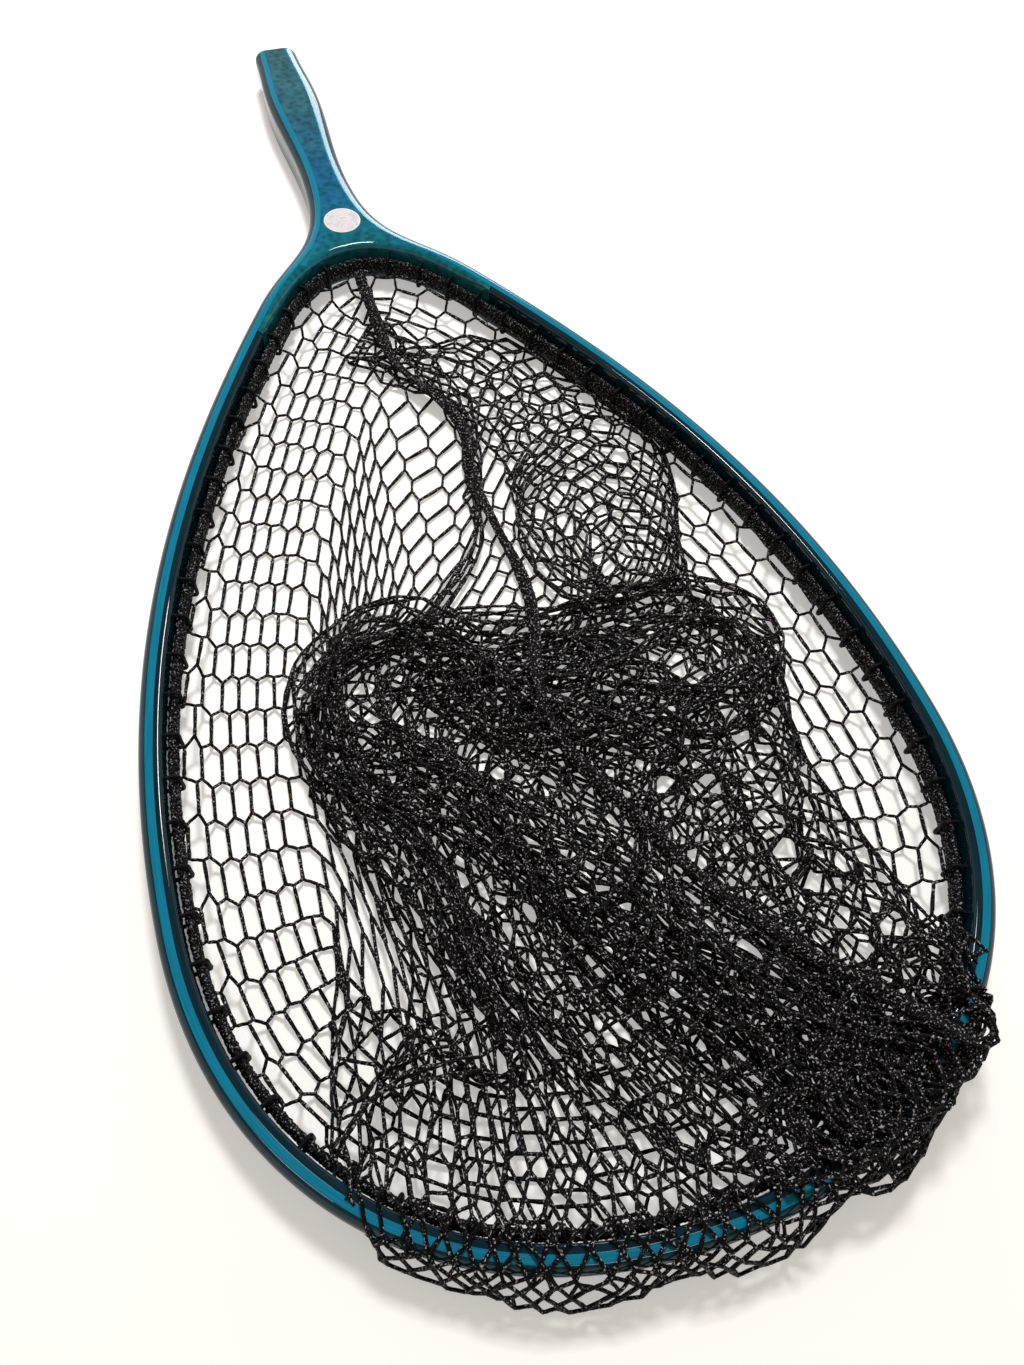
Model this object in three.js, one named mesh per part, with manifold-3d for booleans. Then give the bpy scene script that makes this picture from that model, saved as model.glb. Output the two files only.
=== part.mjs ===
// Landing net lying on a table: a teardrop hoop of bent, glued wood strips round a burl handle
// block, a braided head band tied to the inside of the hoop, and a limp mesh bag whose end is
// drawn over the tip of the hoop. Millimetres, +Z up, the table is z = 0, the handle points to +Y.

import * as THREE from 'three';
import { mergeVertices } from 'three/addons/utils/BufferGeometryUtils.js';
import Module from 'manifold-3d';

// Outline of the frame, seen from above: the hoop is measured from its tip, the handle from the butt
const TOTAL_LENGTH = 610;
const HOOP_WIDTH = 293;
const WIDEST_FROM_TIP = 141;
const SHOULDER_FROM_BUTT = 191.5;
const SHOULDER_WIDTH = 102;
const SHOULDER_LEAN_DEG = 33;
const WAIST_FROM_BUTT = 102;
const WAIST_WIDTH = 21.2;
const GRIP_FROM_BUTT = 45;
const GRIP_WIDTH = 27;
const BUTT_WIDTH = 22.6;
const BUTT_CORNER = 5;

// How far the outline runs straight on from each of those places before it bends away
const TIP_RUN = 88;
const WIDEST_RUN_TO_TIP = 85;
const WIDEST_RUN_TO_SHOULDER = 114;
const SHOULDER_RUN_TO_HOOP = 91;
const SHOULDER_RUN_TO_HANDLE = 39;
const WAIST_RUN_TO_SHOULDER = 60;
const WAIST_RUN_TO_GRIP = 18;
const GRIP_RUN = 18;

// Wood strips and handle block
const FRAME_HEIGHT = 20;
const STRIP_THICKNESS = 2.7;
const GLUE_LINE = 0.3;
const OUTER_ROUNDING = 4;
const INNER_ROUNDING = 1.5;
const THROAT_FROM_BUTT = 166;
const THROAT_RUN = 22;
const HORN_REACH = 40.7;
const HORN_RUN = 30;

// Round inlay in the handle block
const INLAY_DIAMETER = 17.6;
const INLAY_THICKNESS = 1.6;
const INLAY_FROM_BUTT = 146.5;

// Braided head band, its ties and the gap that touching pieces keep
const FIT_GAP = 0.3;
const BAND_THICKNESS = 3.4;
const BAND_HEIGHT = 8.5;
const TIE_RADIUS = 0.8;
const TIE_COUNT = 33;
const TIE_SOCKET_DEPTH = 2.4;

// Mesh bag, its seam and the end drawn over the tip
const NET_THICKNESS = 2.5;
const BAG_CENTRE_FROM_TIP = 205;
const PILE_HEIGHT = 6;
const PILE_RADIUS = 75;
const TAIL_SPREAD = 236;
const TAIL_FOOT = 9;
const TAIL_THICKNESS = 3;
const SEAM_RADIUS = 2.2;
const SEAM_CLEARANCE = 0.5;
const SEAM_ROUTE = [[-4, 424], [6, 402], [-5, 391], [2, 367], [23, 340], [9, 299], [21, 265],
  [17, 213], [3, 168], [23, 128], [62, 80], [86, 52]];
const SEAM_FROM_THROAT = 20;

// Open cells of the bag where the netting lies in one layer: wider than the real ones
const CELLS_ACROSS = 12;
const CELL_ROW = 16;
const CELL_STRAND = 4;
const CELL_BAR_SHARE = 0.88;
const CELL_BORDER = 8;
const HEAP_SHARE = 0.4;

// How finely curves are cut into facets
const OUTLINE_STEPS = 50;
const OUTER_EDGE_POINTS = 4;
const MIDDLE_EDGE_POINTS = 2;
const INNER_EDGE_POINTS = 3;
const THROAT_STEPS = 9;
const TIE_SIDES = 6;
const TIE_STEPS = 7;
const SEAM_SIDES = 8;
const SEAM_STEPS = 38;
const INLAY_SIDES = 32;
const DISH_RINGS = 5;
const DISH_HUB = 0.04;

const THROAT_FROM_TIP = TOTAL_LENGTH - THROAT_FROM_BUTT;
const INLAY_FROM_TIP = TOTAL_LENGTH - INLAY_FROM_BUTT;
const MID_HEIGHT = FRAME_HEIGHT / 2;
const WALL_DEPTH = 3 * STRIP_THICKNESS + 2 * GLUE_LINE;
const BLOCK_DEPTH = 2 * (STRIP_THICKNESS + GLUE_LINE);
const BAND_FACE = FIT_GAP + BAND_THICKNESS;
const TIE_FACE = BAND_FACE + FIT_GAP + 2 * TIE_RADIUS;

// The origin is the middle of the whole footprint, from the drawn-over end of the bag to the butt
const ORIGIN_FROM_TIP = (TOTAL_LENGTH - TAIL_FOOT) / 2;

const vec = (x, y) => new THREE.Vector2(x, y);
const wasm = await Module();
wasm.setup();

// Finishes
const dyedStrip = { color: 0x1b5a6e, roughness: 0.2, metalness: 0 };
const finishes = {
  outer_strip: new THREE.MeshStandardMaterial(dyedStrip),
  middle_strip: new THREE.MeshStandardMaterial({ ...dyedStrip, color: 0x0f9cc0 }),
  inner_strip: new THREE.MeshStandardMaterial({ ...dyedStrip, color: 0x0d4f63 }),
  burl: new THREE.MeshStandardMaterial({ color: 0x1f6f7e, roughness: 0.2, metalness: 0 }),
  pearl: new THREE.MeshStandardMaterial({ color: 0xece8f0, roughness: 0.25, metalness: 0 }),
  braid: new THREE.MeshStandardMaterial({ color: 0x17161a, roughness: 0.8, metalness: 0 }),
  twine: new THREE.MeshStandardMaterial({ color: 0x201a1e, roughness: 0.85, metalness: 0 }),
};

// Half of the outline from the tip to the butt, on the +X side
function halfOutline() {
  const lean = THREE.MathUtils.degToRad(SHOULDER_LEAN_DEG);
  const slope = vec(-Math.sin(lean), Math.cos(lean));
  const tip = vec(0, 0);
  const widest = vec(HOOP_WIDTH / 2, WIDEST_FROM_TIP);
  const shoulder = vec(SHOULDER_WIDTH / 2, TOTAL_LENGTH - SHOULDER_FROM_BUTT);
  const waist = vec(WAIST_WIDTH / 2, TOTAL_LENGTH - WAIST_FROM_BUTT);
  const grip = vec(GRIP_WIDTH / 2, TOTAL_LENGTH - GRIP_FROM_BUTT);
  const butt = vec(BUTT_WIDTH / 2, TOTAL_LENGTH);
  const past = (point, direction, run) => point.clone().addScaledVector(direction, run);
  const up = vec(0, 1);
  const outline = new THREE.CurvePath();
  const bend = (from, runFrom, runTo, to) =>
    outline.add(new THREE.CubicBezierCurve(from, runFrom, runTo, to));
  bend(tip, vec(TIP_RUN, 0), past(widest, up, -WIDEST_RUN_TO_TIP), widest);
  bend(widest, past(widest, up, WIDEST_RUN_TO_SHOULDER),
    past(shoulder, slope, -SHOULDER_RUN_TO_HOOP), shoulder);
  bend(shoulder, past(shoulder, slope, SHOULDER_RUN_TO_HANDLE),
    past(waist, up, -WAIST_RUN_TO_SHOULDER), waist);
  bend(waist, past(waist, up, WAIST_RUN_TO_GRIP), past(grip, up, -GRIP_RUN), grip);
  bend(grip, past(grip, up, GRIP_RUN), past(butt, up, -GRIP_RUN), butt);
  return outline;
}

// A frame is a point on a path with the direction that leads into the hoop
function outlineFrame(outline, t) {
  const point = outline.getPoint(t);
  const along = outline.getTangent(t);
  return { point, inward: vec(-along.y, along.x), t };
}

const mirrored = ({ point, inward, t }) =>
  ({ point: vec(-point.x, point.y), inward: vec(-inward.x, inward.y), t });

// Where along the outline a height from the tip is reached, found by halving
function stationAt(outline, height) {
  let [low, high] = [0, 1];
  while (high - low > 1e-9) {
    const middle = (low + high) / 2;
    if (outline.getPoint(middle).y < height) low = middle;
    else high = middle;
  }
  return low;
}

// Frames along the right half of the outline, with one on each side of the horn joint
function rightFrames(outline) {
  const horn = stationAt(outline, THROAT_FROM_TIP - HORN_REACH);
  const joint = horn - GLUE_LINE / outline.getLength();
  const even = Array.from({ length: OUTLINE_STEPS + 1 }, (_, i) => i / OUTLINE_STEPS);
  const nearest = 1 / (4 * OUTLINE_STEPS);
  const clear = even.filter((t) => Math.abs(t - horn) > nearest);
  const stations = [...clear, horn, joint].sort((a, b) => a - b);
  const frames = stations.map((t) => outlineFrame(outline, t));
  frames[0].inward.set(0, 1);
  return { frames, horn, joint };
}

// Both halves in one run: down the left side, round the tip and up the right side
const bothSides = (frames) => [...frames.slice(1).reverse().map(mirrored), ...frames];

const offset = ({ point, inward }, depth) => point.clone().addScaledVector(inward, depth);

function indexedGeometry(positions, index) {
  const geometry = new THREE.BufferGeometry();
  geometry.setAttribute('position', new THREE.Float32BufferAttribute(positions, 3));
  geometry.setIndex(index);
  geometry.computeVertexNormals();
  return geometry;
}

// Triangles that fill a flat ring of points, all turned the same way as the ring
function fillRing(ring) {
  const turn = THREE.ShapeUtils.isClockWise(ring) ? -1 : 1;
  return THREE.ShapeUtils.triangulateShape([...ring], []).map(([a, b, c]) => {
    const area = THREE.ShapeUtils.area([ring[a], ring[b], ring[c]]);
    return area * turn < 0 ? [a, c, b] : [a, b, c];
  });
}

// Skin between rings of equal count, with a flat lid on the first and the last
function skin(rings, lid) {
  const count = rings[0].length;
  const last = (rings.length - 1) * count;
  const index = [];
  for (let k = 0; k + 1 < rings.length; k += 1) {
    for (let j = 0; j < count; j += 1) {
      const a = k * count + j;
      const b = k * count + (j + 1) % count;
      index.push(a, b, b + count, a, b + count, a + count);
    }
  }
  for (const [a, b, c] of fillRing(lid)) {
    index.push(a, c, b, last + a, last + b, last + c);
  }
  return indexedGeometry(rings.flat().flatMap((p) => [p.x, p.y, p.z]), index);
}

// A section of [depth, height] points carried along frames; trim pulls back the two ends
function sweep(frames, section, trim = () => 0) {
  const last = frames.length - 1;
  const rings = frames.map((frame, k) => section.map(([depth, height]) => {
    const end = k === 0 ? -1 : Number(k === last);
    const place = offset(frame, depth);
    const along = vec(frame.inward.y, -frame.inward.x);
    place.addScaledVector(along, -end * trim(depth, height));
    return new THREE.Vector3(place.x, place.y, height);
  }));
  return skin(rings, section.map(([depth, height]) => vec(depth, height)));
}

function toSolid(geometry) {
  const bare = geometry.clone();
  bare.deleteAttribute('normal');
  bare.deleteAttribute('uv');
  const merged = mergeVertices(bare, 1e-4);
  return new wasm.Manifold(new wasm.Mesh({
    numProp: 3,
    vertProperties: new Float32Array(merged.attributes.position.array),
    triVerts: new Uint32Array(merged.index.array),
  }));
}

function fromSolid(solid) {
  const mesh = solid.getMesh();
  return indexedGeometry(Array.from(mesh.vertProperties), Array.from(mesh.triVerts));
}

function cutAway(geometry, cutters) {
  return fromSolid(cutters.map(toSolid)
    .reduce((solid, cutter) => solid.subtract(cutter), toSolid(geometry)));
}

// How far a round edge of radius r falls back at a distance in from the edge
const fallBack = (r, distance) => {
  const inside = Math.min(Math.max(distance, 0), r);
  return r - Math.sqrt(r * r - (r - inside) ** 2);
};

// Wood strips

const outline = halfOutline();
const { frames: right, horn, joint } = rightFrames(outline);
const rim = bothSides(right);
const hoop = bothSides(right.filter(({ t }) => t <= joint));

// Section of one strip between two depths, under the rounding of the finished frame
function stripSection(from, to, roundingPoints) {
  const depths = Array.from({ length: roundingPoints }, (_, i) =>
    from + (to - from) * (1 - Math.cos((Math.PI / 2) * (i / (roundingPoints - 1)))));
  const half = (depth) => MID_HEIGHT - fallBack(OUTER_ROUNDING, depth)
    - fallBack(INNER_ROUNDING, WALL_DEPTH - depth);
  const top = depths.map((depth) => [depth, MID_HEIGHT + half(depth)]);
  const bottom = depths.map((depth) => [depth, MID_HEIGHT - half(depth)]);
  return [...bottom, ...top.reverse()];
}

const buttTrim = (depth) => fallBack(BUTT_CORNER, depth);
const secondStrip = STRIP_THICKNESS + GLUE_LINE;

function outerLamination() {
  return sweep(rim, stripSection(0, STRIP_THICKNESS, OUTER_EDGE_POINTS), buttTrim);
}

function middleLamination() {
  const section = stripSection(secondStrip, secondStrip + STRIP_THICKNESS, MIDDLE_EDGE_POINTS);
  return sweep(rim, section, buttTrim);
}

function innerLamination() {
  return sweep(hoop, stripSection(WALL_DEPTH, BLOCK_DEPTH, INNER_EDGE_POINTS).reverse());
}

// Throat of the handle block, from the tip of one horn over the middle to the other

const hornFrame = right.find(({ t }) => t === horn);
const hornFoot = offset(hornFrame, WALL_DEPTH);

function throatFrames() {
  const along = vec(hornFrame.inward.y, -hornFrame.inward.x);
  const curve = new THREE.CubicBezierCurve(hornFoot,
    hornFoot.clone().addScaledVector(along, HORN_RUN),
    vec(THROAT_RUN, THROAT_FROM_TIP), vec(0, THROAT_FROM_TIP));
  return Array.from({ length: THROAT_STEPS + 1 }, (_, i) =>
    outlineFrame(curve, i / THROAT_STEPS));
}

const throat = throatFrames();
throat.at(-1).inward.set(0, -1);

// Rings of the block from its underside to its top: the glued sides stay upright, while the
// throat and the butt are rounded back
const EDGE_SHARES = [0, 0.3, 1];

function handleBlock() {
  const glued = right.filter(({ t }) => t >= horn).map((frame) => offset(frame, BLOCK_DEPTH));
  const butt = glued.at(-1);
  const heights = EDGE_SHARES.flatMap((share) => [share * INNER_ROUNDING,
    FRAME_HEIGHT - share * INNER_ROUNDING]).sort((a, b) => a - b);
  const rings = heights.map((height) => {
    const edge = Math.min(height, FRAME_HEIGHT - height);
    const back = fallBack(INNER_ROUNDING, edge);
    const side = [...glued.slice(0, -1), vec(butt.x, butt.y - back)];
    const opening = throat.map((frame) => offset(frame, -back));
    const left = [...side].reverse().map((p) => vec(-p.x, p.y));
    const openingLeft = opening.map((p) => vec(-p.x, p.y));
    return [...side, ...left, ...openingLeft.slice(0, -1), ...opening.slice().reverse()];
  });
  const solid = rings.map((ring, k) => ring.map((p) => new THREE.Vector3(p.x, p.y, heights[k])));
  return skin(solid, rings[0]);
}

// Round inlay, flush with the top of the block, in a pocket with a glue line all round

function disc(diameter, thickness, bottom) {
  const geometry = new THREE.CylinderGeometry(diameter / 2, diameter / 2, thickness, INLAY_SIDES);
  geometry.rotateX(Math.PI / 2);
  return geometry.translate(0, INLAY_FROM_TIP, bottom + thickness / 2);
}

function inlayPocket() {
  const depth = INLAY_THICKNESS + GLUE_LINE;
  return disc(INLAY_DIAMETER + 2 * GLUE_LINE, 2 * depth, FRAME_HEIGHT - depth);
}

// Head band along the inside wall, with its ends meeting at the middle of the throat

function wallFrames() {
  const rightThroat = throat.slice(1, -1);
  const walls = hoop.map((frame) => ({ point: offset(frame, WALL_DEPTH), inward: frame.inward }));
  const ends = vec(FIT_GAP / 2, THROAT_FROM_TIP);
  const rightEnd = { point: ends, inward: vec(0, -1) };
  const rightRun = [...rightThroat, rightEnd];
  return [...rightRun.map(mirrored).reverse(), ...walls, ...rightRun];
}

const wall = wallFrames();

function headBand() {
  const corner = BAND_THICKNESS / 3;
  const [back, face] = [FIT_GAP, BAND_FACE];
  const [low, high] = [MID_HEIGHT - BAND_HEIGHT / 2, MID_HEIGHT + BAND_HEIGHT / 2];
  return sweep(wall, [[back, low + corner], [back + corner, low], [face - corner, low],
    [face, low + corner], [face, high - corner], [face - corner, high], [back + corner, high],
    [back, high - corner]]);
}

// Ties: each is a short cord that comes out of the wall over the band and goes back in under it

function wallPlaces() {
  const steps = wall.slice(1).map((frame, i) => frame.point.distanceTo(wall[i].point));
  const length = steps.reduce((sum, step) => sum + step, 0);
  return Array.from({ length: TIE_COUNT }, (_, i) => {
    let rest = (i + 0.5) * (length / TIE_COUNT);
    const k = steps.findIndex((step) => {
      rest -= step;
      return rest <= 0;
    });
    const share = 1 + rest / steps[k];
    const inward = wall[k].inward.clone().lerp(wall[k + 1].inward, share).normalize();
    return { point: wall[k].point.clone().lerp(wall[k + 1].point, share), inward };
  });
}

const tiePlaces = wallPlaces();
const tieRise = BAND_HEIGHT / 2 + FIT_GAP + TIE_RADIUS;
const tieHeights = [MID_HEIGHT + tieRise, MID_HEIGHT - tieRise];

function wallPoint(place, depth, height) {
  const flat = offset(place, depth);
  return new THREE.Vector3(flat.x, flat.y, height);
}

function circle(radius, sides) {
  return new THREE.Shape(Array.from({ length: sides }, (_, i) => {
    const turn = (2 * Math.PI * i) / sides;
    return vec(radius * Math.cos(turn), radius * Math.sin(turn));
  }));
}

function tie(place) {
  const [over, under] = tieHeights;
  const face = TIE_FACE - TIE_RADIUS;
  const ease = 2 * TIE_RADIUS;
  const route = [[FIT_GAP - TIE_SOCKET_DEPTH, over], [face - ease, over], [face, over - ease],
    [face, under + ease], [face - ease, under], [FIT_GAP - TIE_SOCKET_DEPTH, under]];
  const path = new THREE.CurvePath();
  const at = route.map(([depth, height]) => wallPoint(place, depth, height));
  const corner = (depth, height) => wallPoint(place, depth, height);
  path.add(new THREE.LineCurve3(at[0], at[1]));
  path.add(new THREE.QuadraticBezierCurve3(at[1], corner(face, over), at[2]));
  path.add(new THREE.LineCurve3(at[2], at[3]));
  path.add(new THREE.QuadraticBezierCurve3(at[3], corner(face, under), at[4]));
  path.add(new THREE.LineCurve3(at[4], at[5]));
  return new THREE.ExtrudeGeometry(circle(TIE_RADIUS, TIE_SIDES),
    { steps: TIE_STEPS, extrudePath: path });
}

// Socket of a tie: a short round hole in the wall at each of its two heights
function tieSockets(place) {
  const reach = 2 * FIT_GAP;
  return tieHeights.map((height) => new THREE.ExtrudeGeometry(
    circle(TIE_RADIUS + 1.5 * FIT_GAP, TIE_SIDES), {
      steps: 1,
      extrudePath: new THREE.LineCurve3(wallPoint(place, -TIE_SOCKET_DEPTH, height),
        wallPoint(place, reach, height)),
    }));
}

const withSockets = (geometry, extra = []) =>
  cutAway(geometry, [...tiePlaces.flatMap(tieSockets), ...extra]);

// Mesh bag: a limp layer that lies inside the hoop, reaches under the ties that hold its edge and
// rises to a low pile in the middle. Where it isn't piled up, it is open netting

const bagCentre = vec(0, BAG_CENTRE_FROM_TIP);
const bagEdgeHeight = MID_HEIGHT - tieRise - TIE_RADIUS - FIT_GAP;

const pileTop = (x, y) => NET_THICKNESS
  + PILE_HEIGHT * Math.exp(-((x ** 2 + (y - BAG_CENTRE_FROM_TIP) ** 2) / PILE_RADIUS ** 2));

// Whether a point lies within a closed ring of points
function within(ring, p) {
  return ring.reduce((inside, a, i) => {
    const b = ring[(i + 1) % ring.length];
    const beside = (a.y > p.y) !== (b.y > p.y);
    const crossed = beside && p.x < a.x + ((p.y - a.y) / (b.y - a.y)) * (b.x - a.x);
    return crossed ? !inside : inside;
  }, false);
}

// Six-sided cells in staggered columns, their long sides across the bag, clear of its edge and heap
function openCells() {
  const column = (HOOP_WIDTH - 2 * WALL_DEPTH) / CELLS_ACROSS;
  const bar = (CELL_BAR_SHARE * column - CELL_STRAND) / 2;
  const point = column - (CELL_BAR_SHARE * column + CELL_STRAND) / 2;
  const rise = (CELL_ROW - CELL_STRAND) / 2;
  const corners = [[bar, -rise], [point, 0], [bar, rise], [-bar, rise], [-point, 0], [-bar, -rise]];
  const border = wall.map((frame) => offset(frame, FIT_GAP + CELL_BORDER));
  const heapTop = NET_THICKNESS + HEAP_SHARE * PILE_HEIGHT;
  const isOpen = (p) => within(border, p) && pileTop(p.x, p.y) < heapTop;
  const outermost = Math.floor(CELLS_ACROSS / 2);
  const cells = [];
  for (let i = -outermost; i <= outermost; i += 1) {
    for (let row = Math.abs(i % 2) / 2; row * CELL_ROW < THROAT_FROM_TIP; row += 1) {
      const cell = corners.map(([x, y]) => vec(i * column + x, row * CELL_ROW + y));
      if (cell.every(isOpen)) cells.push(new THREE.Shape(cell));
    }
  }
  return cells.map((cell) =>
    new THREE.ExtrudeGeometry(cell, { depth: FRAME_HEIGHT, bevelEnabled: false }));
}

function netBag() {
  const edge = wall.filter((_, i) => i % 2 === 0).map((frame) => offset(frame, FIT_GAP));
  const ring = (share, height) => edge.map((p) => {
    const flat = bagCentre.clone().lerp(p, share);
    return new THREE.Vector3(flat.x, flat.y, height ?? pileTop(flat.x, flat.y));
  });
  const foot = 1 - TIE_FACE / (HOOP_WIDTH / 2);
  const pile = Array.from({ length: DISH_RINGS }, (_, i) =>
    ring(foot + (DISH_HUB - foot) * (i / (DISH_RINGS - 1))));
  const rings = [ring(DISH_HUB, FIT_GAP), ring(1, FIT_GAP), ring(1, bagEdgeHeight), ...pile];
  return cutAway(skin(rings, rings[0].map((p) => vec(p.x, p.y))), openCells());
}

// End of the bag, drawn over the tip of the hoop: it stands on the bag inside, lies on the top of
// the hoop and hangs down outside
function bagEnd() {
  const reach = (TAIL_SPREAD / 2) / outline.getLength();
  const span = bothSides(right.filter(({ t }) => t <= reach));
  const inside = WALL_DEPTH + TIE_FACE + FIT_GAP;
  const foot = bagEdgeHeight + FIT_GAP;
  const above = FRAME_HEIGHT + FIT_GAP;
  const crown = above + TAIL_THICKNESS;
  const skinDepth = TAIL_THICKNESS;
  const inner = [[skinDepth - TAIL_FOOT, FIT_GAP], [-2 * FIT_GAP, above - OUTER_ROUNDING],
    [OUTER_ROUNDING / 2, above], [inside - 2 * FIT_GAP, above], [inside, above - OUTER_ROUNDING],
    [inside, foot]];
  const outer = [[inside + skinDepth, foot],
    [inside + skinDepth, above - OUTER_ROUNDING / 2], [inside - skinDepth, crown],
    [OUTER_ROUNDING / 2, crown], [-skinDepth - 2 * FIT_GAP, above - OUTER_ROUNDING / 2],
    [-TAIL_FOOT, FIT_GAP]];
  return sweep(span, [...inner, ...outer]);
}

// Laced seam of the bag, lying along the top of the pile from near the throat towards the tip

function seamLacing() {
  const stretch = (THROAT_FROM_TIP - SEAM_FROM_THROAT) / SEAM_ROUTE[0][1];
  const points = SEAM_ROUTE.map(([x, drawn]) => {
    const y = drawn * stretch;
    return new THREE.Vector3(x, y, pileTop(x, y) + SEAM_CLEARANCE + SEAM_RADIUS);
  });
  return new THREE.ExtrudeGeometry(circle(SEAM_RADIUS, SEAM_SIDES),
    { steps: SEAM_STEPS, extrudePath: new THREE.CatmullRomCurve3(points) });
}

// Assembly

const net = new THREE.Group();
net.position.y = -ORIGIN_FROM_TIP;

function addPiece(name, geometry, finish) {
  const mesh = new THREE.Mesh(geometry, finish);
  mesh.name = name;
  net.add(mesh);
}

addPiece('outer_lamination', outerLamination(), finishes.outer_strip);
addPiece('middle_lamination', middleLamination(), finishes.middle_strip);
addPiece('inner_lamination', withSockets(innerLamination()), finishes.inner_strip);
addPiece('handle_block', withSockets(handleBlock(), [inlayPocket()]), finishes.burl);
addPiece('inlay_disc', disc(INLAY_DIAMETER, INLAY_THICKNESS, FRAME_HEIGHT - INLAY_THICKNESS),
  finishes.pearl);
addPiece('head_band', headBand(), finishes.braid);
tiePlaces.forEach((place, i) => {
  addPiece(`lacing_tie_${String(i + 1).padStart(2, '0')}`, tie(place), finishes.twine);
});
addPiece('net_bag', netBag(), finishes.twine);
addPiece('bag_end', bagEnd(), finishes.twine);
addPiece('seam_lacing', seamLacing(), finishes.twine);

const assembly = new THREE.Group();
assembly.add(net);

export default assembly;
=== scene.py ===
# %% [markdown]
# A landing net lies on a pale table. Its hoop is three thin strips of dyed wood, bent round and
# glued, with a block of burl wood between them as the handle. A braid is tied to the inside of
# the hoop, and a limp bag of black netting hangs from it, with its end drawn over the tip.
# The solids of the part are the frame here: each piece below lies where its solid lies.

import math

import bpy
import numpy as np
from mathutils import Matrix, Vector


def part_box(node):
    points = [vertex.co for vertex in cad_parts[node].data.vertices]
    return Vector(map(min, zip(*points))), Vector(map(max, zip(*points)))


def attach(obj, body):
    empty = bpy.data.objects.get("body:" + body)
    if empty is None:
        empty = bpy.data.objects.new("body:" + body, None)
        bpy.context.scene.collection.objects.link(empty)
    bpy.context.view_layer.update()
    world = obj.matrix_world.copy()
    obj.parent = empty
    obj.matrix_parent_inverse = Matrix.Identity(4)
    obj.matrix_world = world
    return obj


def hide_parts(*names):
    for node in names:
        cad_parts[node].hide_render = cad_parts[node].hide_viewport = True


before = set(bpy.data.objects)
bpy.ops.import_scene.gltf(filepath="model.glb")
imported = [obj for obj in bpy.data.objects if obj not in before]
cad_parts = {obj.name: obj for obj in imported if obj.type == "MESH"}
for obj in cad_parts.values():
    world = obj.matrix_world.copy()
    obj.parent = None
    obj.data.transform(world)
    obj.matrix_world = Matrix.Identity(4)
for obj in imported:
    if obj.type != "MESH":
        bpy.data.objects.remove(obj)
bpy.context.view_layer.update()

# %% [markdown]
# The sizes below are in millimetres, measured from the tip of the hoop, because that is how a
# maker would draw the net. One function moves such points into the frame of the solids.

# %% Units and the origin
MM = 0.001
TIP = Vector((0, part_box("outer_lamination")[0].y, 0))


def in_frame(points):
    """Points in millimetres from the tip, as metres in the frame of the solids."""
    return np.asarray(points, float) * MM + np.array(TIP)


print("tip of the hoop at y =", round(TIP.y, 4))

# %% [markdown]
# Node trees are long when every link is written out. One helper adds a node, sets it up and
# links it, and everything from the netting to the lacquer is made with it.

# %% Helpers for nodes
MIX_A, MIX_B, MIXED = 6, 7, 2


def linear(code):
    """An sRGB colour such as "1f9ec4" as linear red, green, blue and alpha."""
    parts = [int(code[k:k + 2], 16) / 255 for k in (0, 2, 4)]
    return [c / 12.92 if c <= 0.04045 else ((c + 0.055) / 1.055) ** 2.4 for c in parts] + [1.0]


def feed(node, inputs):
    """Sets inputs, by socket name or number, to values, sockets or other nodes' first outputs."""
    for key, value in inputs.items():
        if isinstance(value, bpy.types.Node):
            value = value.outputs[0]
        if isinstance(value, bpy.types.NodeSocket):
            node.id_data.links.new(value, node.inputs[key])
        else:
            node.inputs[key].default_value = value


def add(tree, kind, inputs=None, stops=(), **settings):
    """Adds a node with its settings and inputs; stops are a ramp's places and colours."""
    node = tree.nodes.new(kind)
    for name, value in settings.items():
        setattr(node, name, value)
    feed(node, inputs or {})
    if stops:
        elements = node.color_ramp.elements
        while len(elements) < len(stops):
            elements.new(0.5)
        for element, (place, code) in zip(elements, stops):
            element.position = place
            element.color = linear(code)
    return node


def new_material(name):
    """A material with an empty tree, the tree and its shader."""
    material = bpy.data.materials.new(name)
    material.use_nodes = True
    tree = material.node_tree
    tree.nodes.clear()
    shader = add(tree, "ShaderNodeBsdfPrincipled")
    add(tree, "ShaderNodeOutputMaterial", {"Surface": shader})
    return material, tree, shader


print("colour 808080 is", round(linear("808080")[0], 3), "in linear light")

# %% [markdown]
# Every piece ends as a plain mesh at the origin, with its place in its points. It rides on the
# one body of the part, and the solids it stands for are hidden.

# %% Helpers for meshes
SHARP_ANGLE = math.radians(40)


def mesh_object(name, points, faces, material=None, edges=(), lids=()):
    """An object of points in metres, shaded smooth but for its flat lids and its sharp edges."""
    mesh = bpy.data.meshes.new(name)
    mesh.from_pydata([tuple(p) for p in points], edges, list(faces) + list(lids))
    mesh.shade_smooth()
    mesh.set_sharp_from_angle(angle=SHARP_ANGLE)
    for face in mesh.polygons[len(faces):]:
        face.use_smooth = False
    if material:
        mesh.materials.append(material)
    piece = bpy.data.objects.new(name, mesh)
    bpy.context.scene.collection.objects.link(piece)
    return piece


def as_piece(piece, slot, *nodes):
    """The piece rides on the one body and stands for these solids."""
    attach(piece, "root")
    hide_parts(*nodes)
    print(piece.name, "has", len(piece.data.polygons), "faces for", len(nodes), "solids")


print("faces that meet at over", round(math.degrees(SHARP_ANGLE)), "degrees keep a sharp edge")

# %% [markdown]
# The camera stands where the picture was taken from: near the tip, a little to the left, looking
# down steeply. The place was found by fitting the outline of the hoop to the picture.

# %% Camera
CAMERA_PLACE = Vector((-0.0894, -0.2857, 0.3728))
CAMERA_AIM = Vector((-0.0002, -0.0934, 0.0))
CAMERA_ROLL = math.radians(6.74)
FOCAL_PIXELS = 1090
IMAGE_HEIGHT = 1365
SENSOR = 36.0
NEAREST_SEEN = 0.01

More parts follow.
